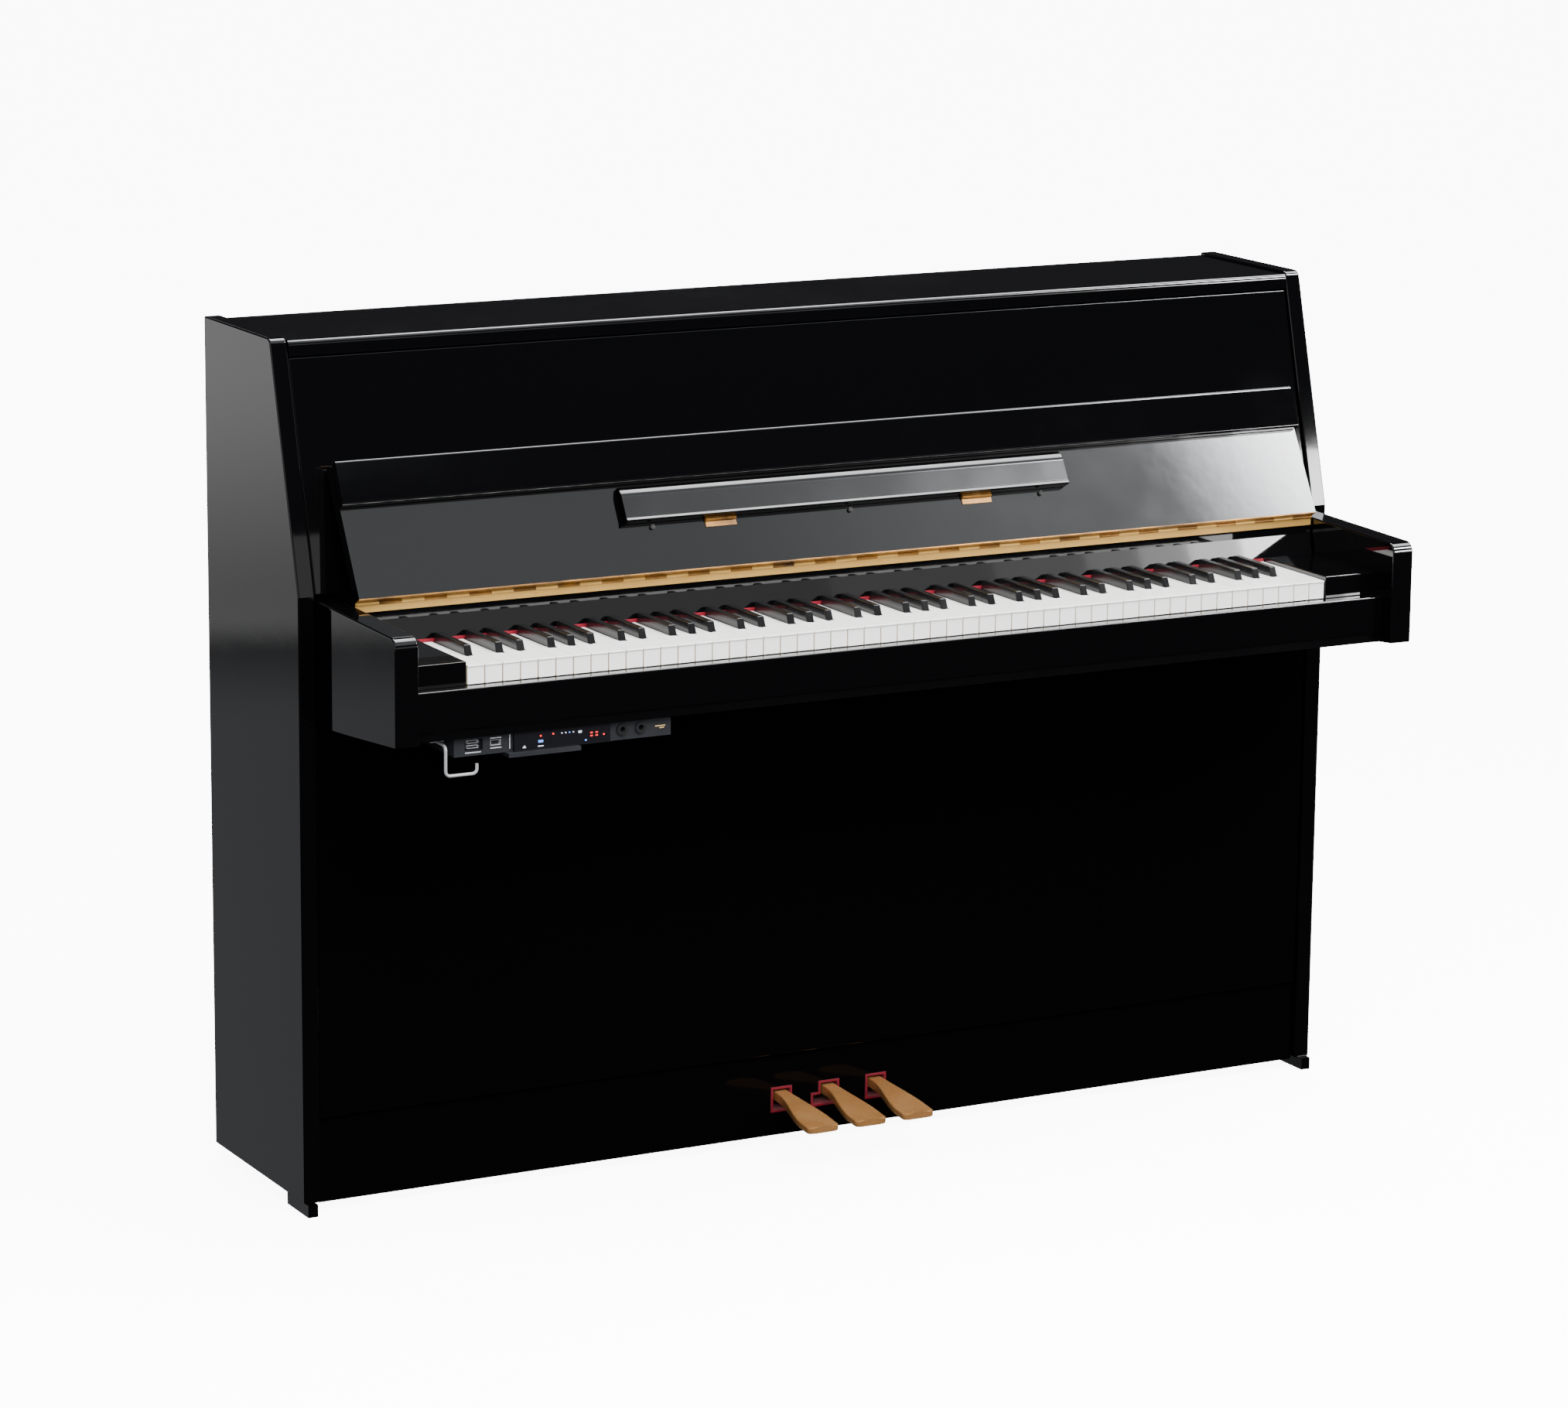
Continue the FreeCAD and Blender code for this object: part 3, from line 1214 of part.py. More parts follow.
for name, place in pedals:
    centre = size("pedal_pitch") * place
    rod_y = ahead(size("rod_reach"))
    rod = doc.addObject("Part::Cylinder", "pedal_rod_" + name)
    bind(rod, "Radius", size("rod_radius"))
    bind(rod, "Height", size("rod_top") - lever_top - size("rod_gap"))
    bind(rod, "Placement.Base.x", centre)
    bind(rod, "Placement.Base.y", rod_y)
    bind(rod, "Placement.Base.z", lever_top + size("rod_gap"))
    named(rod, "pedal_rod_" + name)

# ---------------------------------------------------------------------------
# Headphone control unit under the key bed, its display, sockets and the hook beside it
# ---------------------------------------------------------------------------
unit_low = size("bed_low") - size("unit_height")
unit_front = ahead(size("unit_front_reach"))
unit_rear = ahead(size("unit_front_reach") - size("unit_depth"))
jack_z = unit_low + size("jack_rise")
jack_xs = [-size("unit_right") - 66, -size("unit_right") - 41]
unit = box_between((-size("unit_left"), -size("unit_right")), (unit_front, unit_rear), (unit_low, size("bed_low")))
bay = box_between((-size("display_left") - 0.4, -size("display_right") + 0.4), (unit_front, unit_front + 12),
                  (unit_low - 1, size("bed_low") + 1))
unit = unit.cut(bay)
ports = ((-size("unit_left") + 14, 24, 14), (-size("unit_left") + 48, 14, 7))
for port_x, wide, tall in ports:
    mouth = box_between((port_x, port_x + wide), (unit_front, unit_front + 8),
                        (jack_z - tall / 2, jack_z + tall / 2))
    unit = unit.cut(mouth)
for jack_x in jack_xs:
    seat = rod_between((jack_x, unit_front, jack_z), (jack_x, unit_front + 20, jack_z), size("jack_radius"))
    unit = unit.cut(seat)

display = box_between((-size("display_left"), -size("display_right")),
                      (unit_front - size("display_proud"), unit_front + 11.6), (unit_low, size("bed_low") - 0.4))
tray = box_between((-size("tray_left"), -size("tray_right")),
                   (unit_front - size("display_proud") - 5, unit_front + 60),
                   (unit_low - size("tray_thick"), unit_low))
group("control_unit", [unit.fuse(tray).removeSplitter()])
group("control_display", [display])

jacks = []
for jack_x in jack_xs:
    collar = rod_between((jack_x, unit_front - 2, jack_z), (jack_x, unit_front + 19.5, jack_z),
                         size("jack_radius") - 0.15)
    hole = rod_between((jack_x, unit_front - 3, jack_z), (jack_x, unit_front + 17, jack_z), 3.3)
    jacks.append(collar.cut(hole))
group("control_jacks", jacks)


def bent_wire(points, radius, bend):
    """A round wire along straight runs joined by tangent arcs."""
    edges = []
    start = points[0]
    for k in range(1, len(points) - 1):
        before = (points[k - 1] - points[k]).normalize()
        after = (points[k + 1] - points[k]).normalize()
        enter = points[k] + before * bend
        leave = points[k] + after * bend
        inward = (before + after).normalize()
        middle = points[k] + inward * bend * (math.sqrt(2) - 1)
        edges.append(Part.makeLine(start, enter))
        edges.append(Part.Arc(enter, middle, leave).toShape())
        start = leave
    edges.append(Part.makeLine(start, points[-1]))
    path = Part.Wire(edges)
    section = Part.Wire(Part.makeCircle(radius, points[0], points[1] - points[0]))
    return path.makePipeShell([section], True, False)


hook_x = -size("hook_x").value
hook_y = unit_front.value
hook_z = size("hook_low").value + size("hook_wire").value
hook_points = [FreeCAD.Vector(hook_x, hook_y + 40, size("bed_low").value - 6 - 3),
               FreeCAD.Vector(hook_x, hook_y, size("bed_low").value - 6 - 3),
               FreeCAD.Vector(hook_x, hook_y, hook_z),
               FreeCAD.Vector(hook_x + size("hook_width").value, hook_y, hook_z),
               FreeCAD.Vector(hook_x + size("hook_width").value, hook_y, hook_z + 12)]
hook = bent_wire(hook_points, size("hook_wire").value, size("hook_bend").value)
hook_plate = box_between((hook_x - 9, hook_x + 9), (hook_y + 24, hook_y + 56),
                         (size("bed_low").value - 9, size("bed_low").value))
group("headphone_hook", [hook.fuse(hook_plate).removeSplitter()])

# ---------------------------------------------------------------------------
# Rear casters and small fittings
# ---------------------------------------------------------------------------
caster_y = ahead(size("caster_reach"))
wheel_z = size("wheel_radius")
wheel_half = size("wheel_width") / 2
caster_parts = []
for label, sign in (("left", -1), ("right", 1)):
    centre = size("caster_x") * sign
    tyre = rod_between((centre - wheel_half, caster_y, wheel_z), (centre + wheel_half, caster_y, wheel_z), wheel_z)
    tyre = tyre.makeFillet(3, tyre.Edges[:1] + tyre.Edges[2:3])
    bore = rod_between((centre - wheel_half - 1, caster_y, wheel_z), (centre + wheel_half + 1, caster_y, wheel_z),
                       size("axle_radius") + size("hinge_fit"))
    group("caster_wheel_" + label, [tyre.cut(bore)])
    cheek = wheel_half + 1.5
    axle = rod_between((centre - cheek - 3, caster_y, wheel_z), (centre + cheek + 3, caster_y, wheel_z),
                       size("axle_radius"))
    fork = box_between((centre - cheek - 3, centre + cheek + 3), (caster_y - 20, caster_y + 20),
                       (size("beam_low") - 3.5, size("beam_low")))
    for side in (-1, 1):
        fork = fork.fuse(box_between((centre + side * cheek, centre + side * (cheek + 3)),
                                     (caster_y - 9, caster_y + 9), (wheel_z - 7, size("beam_low"))))
    caster_parts.append(fork.fuse(axle).removeSplitter())
group("caster_forks", caster_parts)

buttons = []
button = size("button_radius").value
shelf_button_x = shelf_half.value * 0.88
for x in (-shelf_button_x, 0, shelf_button_x):
    spot = at_yz(fall_point(shelf_low - 6, inner_face))
    start = FreeCAD.Vector(x, spot[0], spot[1])
    out = FreeCAD.Vector(0, -fall_cos.value, fall_sin.value)
    buttons.append(Part.makeCylinder(button * 0.6, 3.5, start, out))
for side in (-1, 1):
    spot = at_yz(fall_point(lip_line - 10, outer_face))
    start = FreeCAD.Vector(side * (board_half - 60), spot[0], spot[1])
    back = FreeCAD.Vector(0, fall_cos.value, -fall_sin.value)
    buttons.append(Part.makeCylinder(button, 3, start, back))
group("rubber_buttons", buttons)

# Screw heads: along the long hinge's leaf on the rail, and through the caster forks' plates.
screws = []
screw_count = 20
for k in range(screw_count):
    x = -board_half + (k + 0.5) * 2 * board_half / screw_count
    start = FreeCAD.Vector(x, rail_y - leaf, hinge_yz[1] - size("leaf_depth").value * 0.62)
    screws.append(Part.makeCylinder(2, 0.5, start, FreeCAD.Vector(0, -1, 0)))
group("hinge_screws", screws)

# ---------------------------------------------------------------------------
# Check and write
# ---------------------------------------------------------------------------
doc.recompute()
for thing in doc.Objects:
    if "Invalid" in thing.State or "Error" in thing.State:
        raise RuntimeError("%s failed: %s" % (thing.Name, thing.State))
for piece in nodes:
    shape = piece.Shape
    if shape.isNull() or not shape.isValid() or not shape.Solids:
        raise RuntimeError("%s has no valid solid" % piece.Label)
for piece in nodes:
    piece.Shape.exportStep(os.path.join("parts", piece.Label + ".step"))
print("%d nodes, %d solids" % (len(nodes), sum(len(piece.Shape.Solids) for piece in nodes)))
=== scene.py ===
"""Looks of a compact upright piano in polished black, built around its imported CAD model."""

import json
import math
import random

import bmesh
import bpy
from mathutils import Matrix, Vector


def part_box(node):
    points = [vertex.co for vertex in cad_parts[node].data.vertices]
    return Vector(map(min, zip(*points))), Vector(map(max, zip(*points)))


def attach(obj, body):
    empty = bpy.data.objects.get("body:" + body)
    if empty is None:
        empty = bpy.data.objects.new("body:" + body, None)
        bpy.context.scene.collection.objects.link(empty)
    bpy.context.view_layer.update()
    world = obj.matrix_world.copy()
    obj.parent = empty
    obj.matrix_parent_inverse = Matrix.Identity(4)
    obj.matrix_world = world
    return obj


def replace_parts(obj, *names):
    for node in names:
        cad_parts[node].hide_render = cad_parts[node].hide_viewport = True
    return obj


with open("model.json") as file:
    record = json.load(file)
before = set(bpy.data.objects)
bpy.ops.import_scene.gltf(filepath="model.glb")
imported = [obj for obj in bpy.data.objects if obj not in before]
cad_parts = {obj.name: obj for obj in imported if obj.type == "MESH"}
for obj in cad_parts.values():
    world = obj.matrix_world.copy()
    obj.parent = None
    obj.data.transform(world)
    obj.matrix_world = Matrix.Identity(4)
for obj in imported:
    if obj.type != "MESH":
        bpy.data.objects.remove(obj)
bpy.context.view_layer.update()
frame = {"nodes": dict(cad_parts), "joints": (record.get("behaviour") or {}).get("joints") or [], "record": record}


# ---------------------------------------------------------------------------
# Back frame: two beams and five posts of laminated softwood that carry the string load.
# Sawn, sanded and left bare; the grain runs along the beams.
# ---------------------------------------------------------------------------
def finish_of(name, **sockets):
    """A material whose even values sit on the shader's own sockets."""
    made = bpy.data.materials.new(name)
    made.use_nodes = True
    shader = made.node_tree.nodes["Principled BSDF"]
    for socket, value in sockets.items():
        shader.inputs[socket.replace("_", " ")].default_value = value
    return made


def effect(name, inputs, outputs):
    """An empty shader effect with named inputs and outputs."""
    tree = bpy.data.node_groups.new(name, "ShaderNodeTree")
    for label, kind, value in inputs:
        socket = tree.interface.new_socket(label, in_out="INPUT", socket_type="NodeSocket" + kind)
        socket.default_value = value
    for label, kind in outputs:
        tree.interface.new_socket(label, in_out="OUTPUT", socket_type="NodeSocket" + kind)
    return tree, tree.nodes.new("NodeGroupInput"), tree.nodes.new("NodeGroupOutput")


def node(tree, kind, **settings):
    """A shader node; a setting that names an input is a value or an output to link."""
    made = tree.nodes.new("ShaderNode" + kind)
    for key, value in settings.items():
        name = key.replace("_", " ")
        if key.startswith("in") and key[2:].isdigit():
            target = made.inputs[int(key[2:])]
        elif name in made.inputs:
            target = made.inputs[name]
        else:
            setattr(made, key, value)
            continue
        if isinstance(value, bpy.types.NodeSocket):
            tree.links.new(value, target)
        else:
            target.default_value = value
    return made


def wood_effect():
    """Long fibres and growth bands, stretched along the grain."""
    tree, given, made = effect("wood_grain", [
        ("Light", "Color", (0.6, 0.45, 0.3, 1)), ("Dark", "Color", (0.4, 0.26, 0.15, 1)),
        ("Stretch", "Vector", (1, 20, 20))], [("Color", "Color"), ("Height", "Float")])
    place = node(tree, "TexCoord").outputs["Object"]
    along = node(tree, "VectorMath", operation="MULTIPLY", in0=place, in1=given.outputs["Stretch"]).outputs[0]
    fibre = node(tree, "TexNoise", Vector=along, Scale=14, Detail=8, Roughness=0.65).outputs["Fac"]
    bands = node(tree, "TexNoise", Vector=along, Scale=2.4, Detail=2, Distortion=1.2).outputs["Fac"]
    rings = node(tree, "Math", operation="PINGPONG", in0=node(
        tree, "Math", operation="MULTIPLY", in0=bands, in1=9.0).outputs[0], in1=1.0).outputs[0]
    mixed = node(tree, "Math", operation="MULTIPLY_ADD", in0=rings, in1=0.45, in2=node(
        tree, "Math", operation="MULTIPLY", in0=fibre, in1=0.55).outputs[0]).outputs[0]
    colour = node(tree, "MixRGB", Fac=mixed, Color1=given.outputs["Light"], Color2=given.outputs["Dark"])
    tree.links.new(colour.outputs[0], made.inputs["Color"])
    tree.links.new(fibre, made.inputs["Height"])
    return tree


WOOD_GRAIN = wood_effect()


def use_effect(material, group, bump=0.0, distance=0.0005, **values):
    """Places an effect in a material and links what it puts out to the shader."""
    tree = material.node_tree
    shader = tree.nodes["Principled BSDF"]
    placed = tree.nodes.new("ShaderNodeGroup")
    placed.node_tree = group
    for key, value in values.items():
        placed.inputs[key].default_value = value
    for output, socket in (("Color", "Base Color"), ("Roughness", "Roughness"), ("Metallic", "Metallic")):
        if output in placed.outputs:
            tree.links.new(placed.outputs[output], shader.inputs[socket])
    if "Height" in placed.outputs and bump:
        relief = node(tree, "Bump", Strength=bump, Distance=distance, Height=placed.outputs["Height"])
        tree.links.new(relief.outputs["Normal"], shader.inputs["Normal"])
    return material


def wood(name, light, dark, stretch, roughness):
    made = finish_of(name, Roughness=roughness)
    return use_effect(made, WOOD_GRAIN, bump=0.35, distance=0.0004, Light=(*light, 1), Dark=(*dark, 1),
                      Stretch=stretch)


def dress(material, *names):
    """Gives CAD nodes a material; their shape stays."""
    for name in names:
        for held in frame["nodes"][name].material_slots:
            held.material = material


ALONG_X = (1.2, 16, 16)
ALONG_Y = (16, 1.2, 16)
ALONG_Z = (16, 16, 1.2)
bare_softwood = wood("bare_softwood", (0.62, 0.46, 0.29), (0.42, 0.27, 0.15), ALONG_Z, 0.62)
dress(bare_softwood, "back_frame")


# ---------------------------------------------------------------------------
# Soundboard and ribs: quarter-sawn spruce under satin varnish, ribs glued across the back.
# Bridges: hard maple, glued to the front of the soundboard.
# ---------------------------------------------------------------------------
dress(wood("soundboard_spruce", (0.78, 0.58, 0.33), (0.60, 0.39, 0.18), (16, 16, 1.0), 0.38), "soundboard")
dress(wood("rib_spruce", (0.80, 0.62, 0.38), (0.62, 0.43, 0.22), ALONG_X, 0.45), "soundboard_ribs")
hard_maple = wood("hard_maple", (0.66, 0.49, 0.31), (0.50, 0.33, 0.19), ALONG_X, 0.5)
dress(hard_maple, "bridges", "pin_block", "bottom_board", "key_frame")


# ---------------------------------------------------------------------------
# Iron plate: sand-cast iron, sprayed with bronze lacquer; it shows a fine pebble.
# Strings and tuning pins: drawn steel, the pins blued.
# ---------------------------------------------------------------------------
def cast_effect():
    """The pebble of sprayed lacquer over a sand casting."""
    tree, given, made = effect("cast_pebble", [
        ("Light", "Color", (0.5, 0.4, 0.2, 1)), ("Dark", "Color", (0.3, 0.22, 0.1, 1)),
        ("Grain", "Float", 300.0)], [("Color", "Color"), ("Roughness", "Float"), ("Height", "Float")])
    place = node(tree, "TexCoord").outputs["Object"]
    pebble = node(tree, "TexNoise", Vector=place, Scale=given.outputs["Grain"], Detail=3).outputs["Fac"]
    cloud = node(tree, "TexNoise", Vector=place, Scale=9, Detail=4).outputs["Fac"]
    colour = node(tree, "MixRGB", Fac=cloud, Color1=given.outputs["Light"], Color2=given.outputs["Dark"])
    rough = node(tree, "MapRange", Value=pebble, To_Min=0.32, To_Max=0.6)
    tree.links.new(colour.outputs[0], made.inputs["Color"])
    tree.links.new(rough.outputs[0], made.inputs["Roughness"])
    tree.links.new(pebble, made.inputs["Height"])
    return tree


CAST_PEBBLE = cast_effect()
bronze_lacquer = use_effect(finish_of("bronze_lacquer", Metallic=0.75), CAST_PEBBLE, bump=0.5,
                            distance=0.0004, Light=(0.62, 0.47, 0.22, 1), Dark=(0.46, 0.33, 0.14, 1),
                            Grain=420)
dress(bronze_lacquer, "iron_plate")


def metal_effect():
    """Fine draw lines along one direction with slow patches of colour: tarnish on most metals, painted reflection
    on the dark hinge brass.
    """
    tree, given, made = effect("drawn_metal", [
        ("Bright", "Color", (0.8, 0.6, 0.3, 1)), ("Dull", "Color", (0.5, 0.3, 0.1, 1)),
        ("Stretch", "Vector", (1, 60, 60)), ("Patch", "Float", 6.0), ("Smoothest", "Float", 0.2),
        ("Roughest", "Float", 0.4)], [("Color", "Color"), ("Roughness", "Float"), ("Height", "Float")])
    place = node(tree, "TexCoord").outputs["Object"]
    along = node(tree, "VectorMath", operation="MULTIPLY", in0=place, in1=given.outputs["Stretch"]).outputs[0]
    lines = node(tree, "TexNoise", Vector=along, Scale=30, Detail=3, Roughness=0.7).outputs["Fac"]
    cloud = node(tree, "TexNoise", Vector=place, Scale=given.outputs["Patch"], Detail=5,
                 Roughness=0.6).outputs["Fac"]
    patch = node(tree, "MapRange", Value=cloud, From_Min=0.38, From_Max=0.66).outputs[0]
    colour = node(tree, "MixRGB", Fac=patch, Color1=given.outputs["Bright"], Color2=given.outputs["Dull"])
    both = node(tree, "Math", operation="MULTIPLY_ADD", in0=lines, in1=0.5, in2=node(
        tree, "Math", operation="MULTIPLY", in0=cloud, in1=0.5).outputs[0]).outputs[0]
    rough = node(tree, "MapRange", Value=both, From_Min=0.25, From_Max=0.75,
                 To_Min=given.outputs["Smoothest"], To_Max=given.outputs["Roughest"]).outputs[0]
    tree.links.new(colour.outputs[0], made.inputs["Color"])
    tree.links.new(rough, made.inputs["Roughness"])
    tree.links.new(lines, made.inputs["Height"])
    return tree


DRAWN_METAL = metal_effect()


def metal(name, bright, dull, stretch, patch=6.0, smooth=0.2, rough=0.4, bump=0.15, bare=1.0):
    """Metal under lacquer is less bare, and spreads more of the light."""
    made = finish_of(name, Metallic=bare)
    return use_effect(made, DRAWN_METAL, bump=bump, distance=0.0002, Bright=(*bright, 1), Dull=(*dull, 1),
                      Stretch=stretch, Patch=patch, Smoothest=smooth, Roughest=rough)


string_steel = metal("string_steel", (0.62, 0.63, 0.65), (0.45, 0.44, 0.43), (60, 60, 1), smooth=0.22)
dress(string_steel, "strings")
blued_steel = metal("blued_steel", (0.24, 0.26, 0.32), (0.12, 0.13, 0.17), (60, 1, 60), smooth=0.25)
dress(blued_steel, "tuning_pins")
plain_steel = metal("plain_steel", (0.56, 0.57, 0.58), (0.42, 0.42, 0.42), (1, 60, 60), smooth=0.25)
dress(plain_steel, "key_pins", "pedal_brackets", "caster_forks")


# ---------------------------------------------------------------------------
# Case: board with a thick black polyester coat, sanded and buffed to a mirror.
# The buffing leaves a faint ripple and hairlines; only the ripple is drawn, and dust settles on what faces up.
# ---------------------------------------------------------------------------
def polish_effect():
    tree, given, made = effect("buffed_polish", [
        ("Deep", "Color", (0.0009, 0.0009, 0.0011, 1)), ("Dust", "Color", (0.12, 0.12, 0.12, 1)),
        ("Dust Amount", "Float", 0.012), ("Gloss", "Float", 0.035), ("Handled", "Float", 0.05)],
        [("Color", "Color"), ("Roughness", "Float"), ("Height", "Float")])
    place = node(tree, "TexCoord").outputs["Object"]
    ripple = node(tree, "TexNoise", Vector=place, Scale=55, Detail=1).outputs["Fac"]
    cloud = node(tree, "TexNoise", Vector=place, Scale=3.2, Detail=5, Roughness=0.6).outputs["Fac"]
    specks = node(tree, "TexNoise", Vector=place, Scale=900, Detail=1).outputs["Fac"]
    facing = node(tree, "SeparateXYZ", in0=node(tree, "NewGeometry").outputs["True Normal"]).outputs["Z"]
    upward = node(tree, "MapRange", Value=facing, From_Min=0.6, From_Max=0.95).outputs[0]
    speck = node(tree, "MapRange", Value=specks, From_Min=0.62, From_Max=0.72).outputs[0]
    dusty = node(tree, "Math", operation="MULTIPLY", in0=upward, in1=speck).outputs[0]
    amount = node(tree, "Math", operation="MULTIPLY", in0=dusty, in1=given.outputs["Dust Amount"]).outputs[0]
    colour = node(tree, "MixRGB", Fac=amount, Color1=given.outputs["Deep"], Color2=given.outputs["Dust"])
    worn = node(tree, "MapRange", Value=cloud, From_Min=0.45, From_Max=0.75, To_Min=0.0,
                To_Max=given.outputs["Handled"]).outputs[0]
    rough = node(tree, "Math", operation="ADD", in0=worn, in1=given.outputs["Gloss"]).outputs[0]
    rough = node(tree, "Math", operation="MULTIPLY_ADD", in0=dusty, in1=0.06, in2=rough).outputs[0]
    tree.links.new(colour.outputs[0], made.inputs["Color"])
    tree.links.new(rough, made.inputs["Roughness"])
    tree.links.new(ripple, made.inputs["Height"])
    return tree


BUFFED_POLISH = polish_effect()


def polish(name, gloss=0.03, ripple=0.02):
    made = finish_of(name, IOR=1.5, Coat_Weight=0.5, Coat_Roughness=0.02, Coat_IOR=1.5)
    return use_effect(made, BUFFED_POLISH, bump=ripple, distance=0.0006, Gloss=gloss)


black_polish = polish("black_polish")
dress(black_polish, "side_board_left", "side_board_right", "upper_front_panel", "top_lid", "arm_left",
      "arm_right", "key_slip", "key_blocks", "nameboard", "fallboard", "fallboard_lip", "front_feet")
bed_lacquer = polish("bed_lacquer", gloss=0.22, ripple=0.1)
dress(bed_lacquer, "key_bed")
knee_polish = use_effect(finish_of("knee_polish", Specular_IOR_Level=0.16), BUFFED_POLISH, bump=0.03,
                         distance=0.0006, Gloss=0.06)
dress(knee_polish, "lower_front_panel", "toe_rail")


# ---------------------------------------------------------------------------
# Keys: 52 naturals and 36 sharps on spruce sticks. A natural has a moulded white cover with a lip over
# its front plate; a sharp is a tapered black block with a sloping nose.
# ---------------------------------------------------------------------------
def box_points(low, high):
    x0, y0, z0 = low
    x1, y1, z1 = high
    return [(x0, y0, z0), (x1, y0, z0), (x1, y1, z0), (x0, y1, z0), (x0, y0, z1), (x1, y0, z1), (x1, y1, z1),
            (x0, y1, z1)]


def add_prism(mesh, base, top, slot=0, bevel=0.0, steps=2):
    """Adds a closed piece between two outlines of equal count, with rounded edges."""
    count = len(base)
    lower = [mesh.verts.new(p) for p in base]
    upper = [mesh.verts.new(p) for p in top]
    faces = [mesh.faces.new(list(reversed(lower))), mesh.faces.new(upper)]
    for i in range(count):
        j = (i + 1) % count
        faces.append(mesh.faces.new((lower[i], lower[j], upper[j], upper[i])))
    for face in faces:
        face.material_index = slot
    if bevel:
        edges = list({edge for face in faces for edge in face.edges})
        made = bmesh.ops.bevel(mesh, geom=edges, offset=bevel, segments=steps, profile=0.5, affect="EDGES",
                               clamp_overlap=True)
        for face in made["faces"]:
            face.material_index = slot


def add_box(mesh, low, high, slot=0, bevel=0.0, steps=2):
    points = box_points(low, high)
    add_prism(mesh, points[:4], points[4:], slot, bevel, steps)


def add_plate(mesh, outline, low, high, slot=0, bevel=0.0, steps=2):
    """A flat piece with its outline in plan, given as (x, y) corners anticlockwise."""
    add_prism(mesh, [(x, y, low) for x, y in outline], [(x, y, high) for x, y in outline], slot, bevel, steps)


def piece_of(name, mesh, body, materials, crease=35):
    """Turns a bmesh into a piece that rides on a body."""
    bmesh.ops.recalc_face_normals(mesh, faces=mesh.faces)
    data = bpy.data.meshes.new(name)
    mesh.to_mesh(data)
    mesh.free()
    for face in data.polygons:
        face.use_smooth = True
    data.set_sharp_from_angle(angle=math.radians(crease))
    for material in materials:
        data.materials.append(material)
    made = bpy.data.objects.new(name, data)
    bpy.context.scene.collection.objects.link(made)
    even = made.modifiers.new("even_shading", "WEIGHTED_NORMAL")
    even.keep_sharp = True
    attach(made, body)
    return made


def moulded_effect():
    """Moulded plastic: a trace of flow in the colour and a fine skin."""
    tree, given, made = effect("moulded_skin", [
        ("Fresh", "Color", (0.8, 0.8, 0.78, 1)), ("Handled", "Color", (0.7, 0.69, 0.64, 1)),
        ("Grain", "Float", 600.0), ("Smoothest", "Float", 0.1), ("Roughest", "Float", 0.2)],
        [("Color", "Color"), ("Roughness", "Float"), ("Height", "Float")])
    place = node(tree, "TexCoord").outputs["Object"]
    skin = node(tree, "TexNoise", Vector=place, Scale=given.outputs["Grain"], Detail=2).outputs["Fac"]
    flow = node(tree, "TexNoise", Vector=place, Scale=16, Detail=4).outputs["Fac"]
    colour = node(tree, "MixRGB", Fac=flow, Color1=given.outputs["Fresh"], Color2=given.outputs["Handled"])
    rough = node(tree, "MapRange", Value=flow, From_Min=0.3, From_Max=0.7, To_Min=given.outputs["Smoothest"],
                 To_Max=given.outputs["Roughest"])
    tree.links.new(colour.outputs[0], made.inputs["Color"])
    tree.links.new(rough.outputs[0], made.inputs["Roughness"])
    tree.links.new(skin, made.inputs["Height"])
    return tree


MOULDED_SKIN = moulded_effect()


def moulded(name, fresh, handled, smooth, rough, grain=600, bump=0.1, **sockets):
    made = finish_of(name, **sockets)
    return use_effect(made, MOULDED_SKIN, bump=bump, distance=0.0001, Fresh=(*fresh, 1),
                      Handled=(*handled, 1), Grain=grain, Smoothest=smooth, Roughest=rough)


natural_white = moulded("natural_white", (0.88, 0.88, 0.87), (0.84, 0.835, 0.81), 0.10, 0.22, bump=0.04,
                        Coat_Weight=0.4, Coat_Roughness=0.06)
sharp_black = moulded("sharp_black", (0.004, 0.004, 0.0045), (0.007, 0.007, 0.007), 0.14, 0.24, bump=0.08,
                      grain=900)
key_spruce = wood("key_spruce", (0.76, 0.60, 0.40), (0.60, 0.43, 0.25), ALONG_Y, 0.6)
capstan_brass = metal("capstan_brass", (0.80, 0.60, 0.28), (0.62, 0.43, 0.17), (60, 60, 1))

NATURAL_NODES = {"C": "keys_c_e_g", "E": "keys_c_e_g", "G": "keys_c_e_g", "D": "keys_d_f_a",
                 "F": "keys_d_f_a", "A": "keys_d_f_a", "B": "keys_b"}
SHARP_NODES = {"C": "sharps_c_f_a", "F": "sharps_c_f_a", "A": "sharps_c_f_a", "D": "sharps_d_g",
               "G": "sharps_d_g"}
NATURAL_COUNT = 52
FIRST_LETTER = 5
LETTERS = "CDEFGAB"
key_gap = 0.00105
sharp_wide = 0.011
sharp_rise = 0.012
sharp_room = 0.001
head_deep = 0.050
seen_deep = 0.144
cover_thick = 0.0024
cover_tuck = 0.004
front_lip = 0.0012
front_plate = 0.002
stick_shrink = 0.0003
stick_drop = 0.005
natural_stick_half = 0.0062
sharp_stick_half = 0.0052
sharp_slope = 0.0066
sharp_taper = 0.0009
capstan_radius = 0.0029
capstan_rise = 0.0098
keys_left = min(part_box(n)[0].x for n in set(NATURAL_NODES.values())) - key_gap / 2
keys_right = max(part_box(n)[1].x for n in set(NATURAL_NODES.values())) + key_gap / 2
pitch = (keys_right - keys_left) / NATURAL_COUNT
key_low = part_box("keys_b")[0].z
key_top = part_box("sharps_d_g")[1].z - sharp_rise
key_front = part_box("keys_b")[0].y
key_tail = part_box("keys_b")[1].y
capstan_y = key_tail - 0.025
head_rear = key_front + head_deep
sharp_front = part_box("sharps_d_g")[0].y
seen_rear = key_front + seen_deep


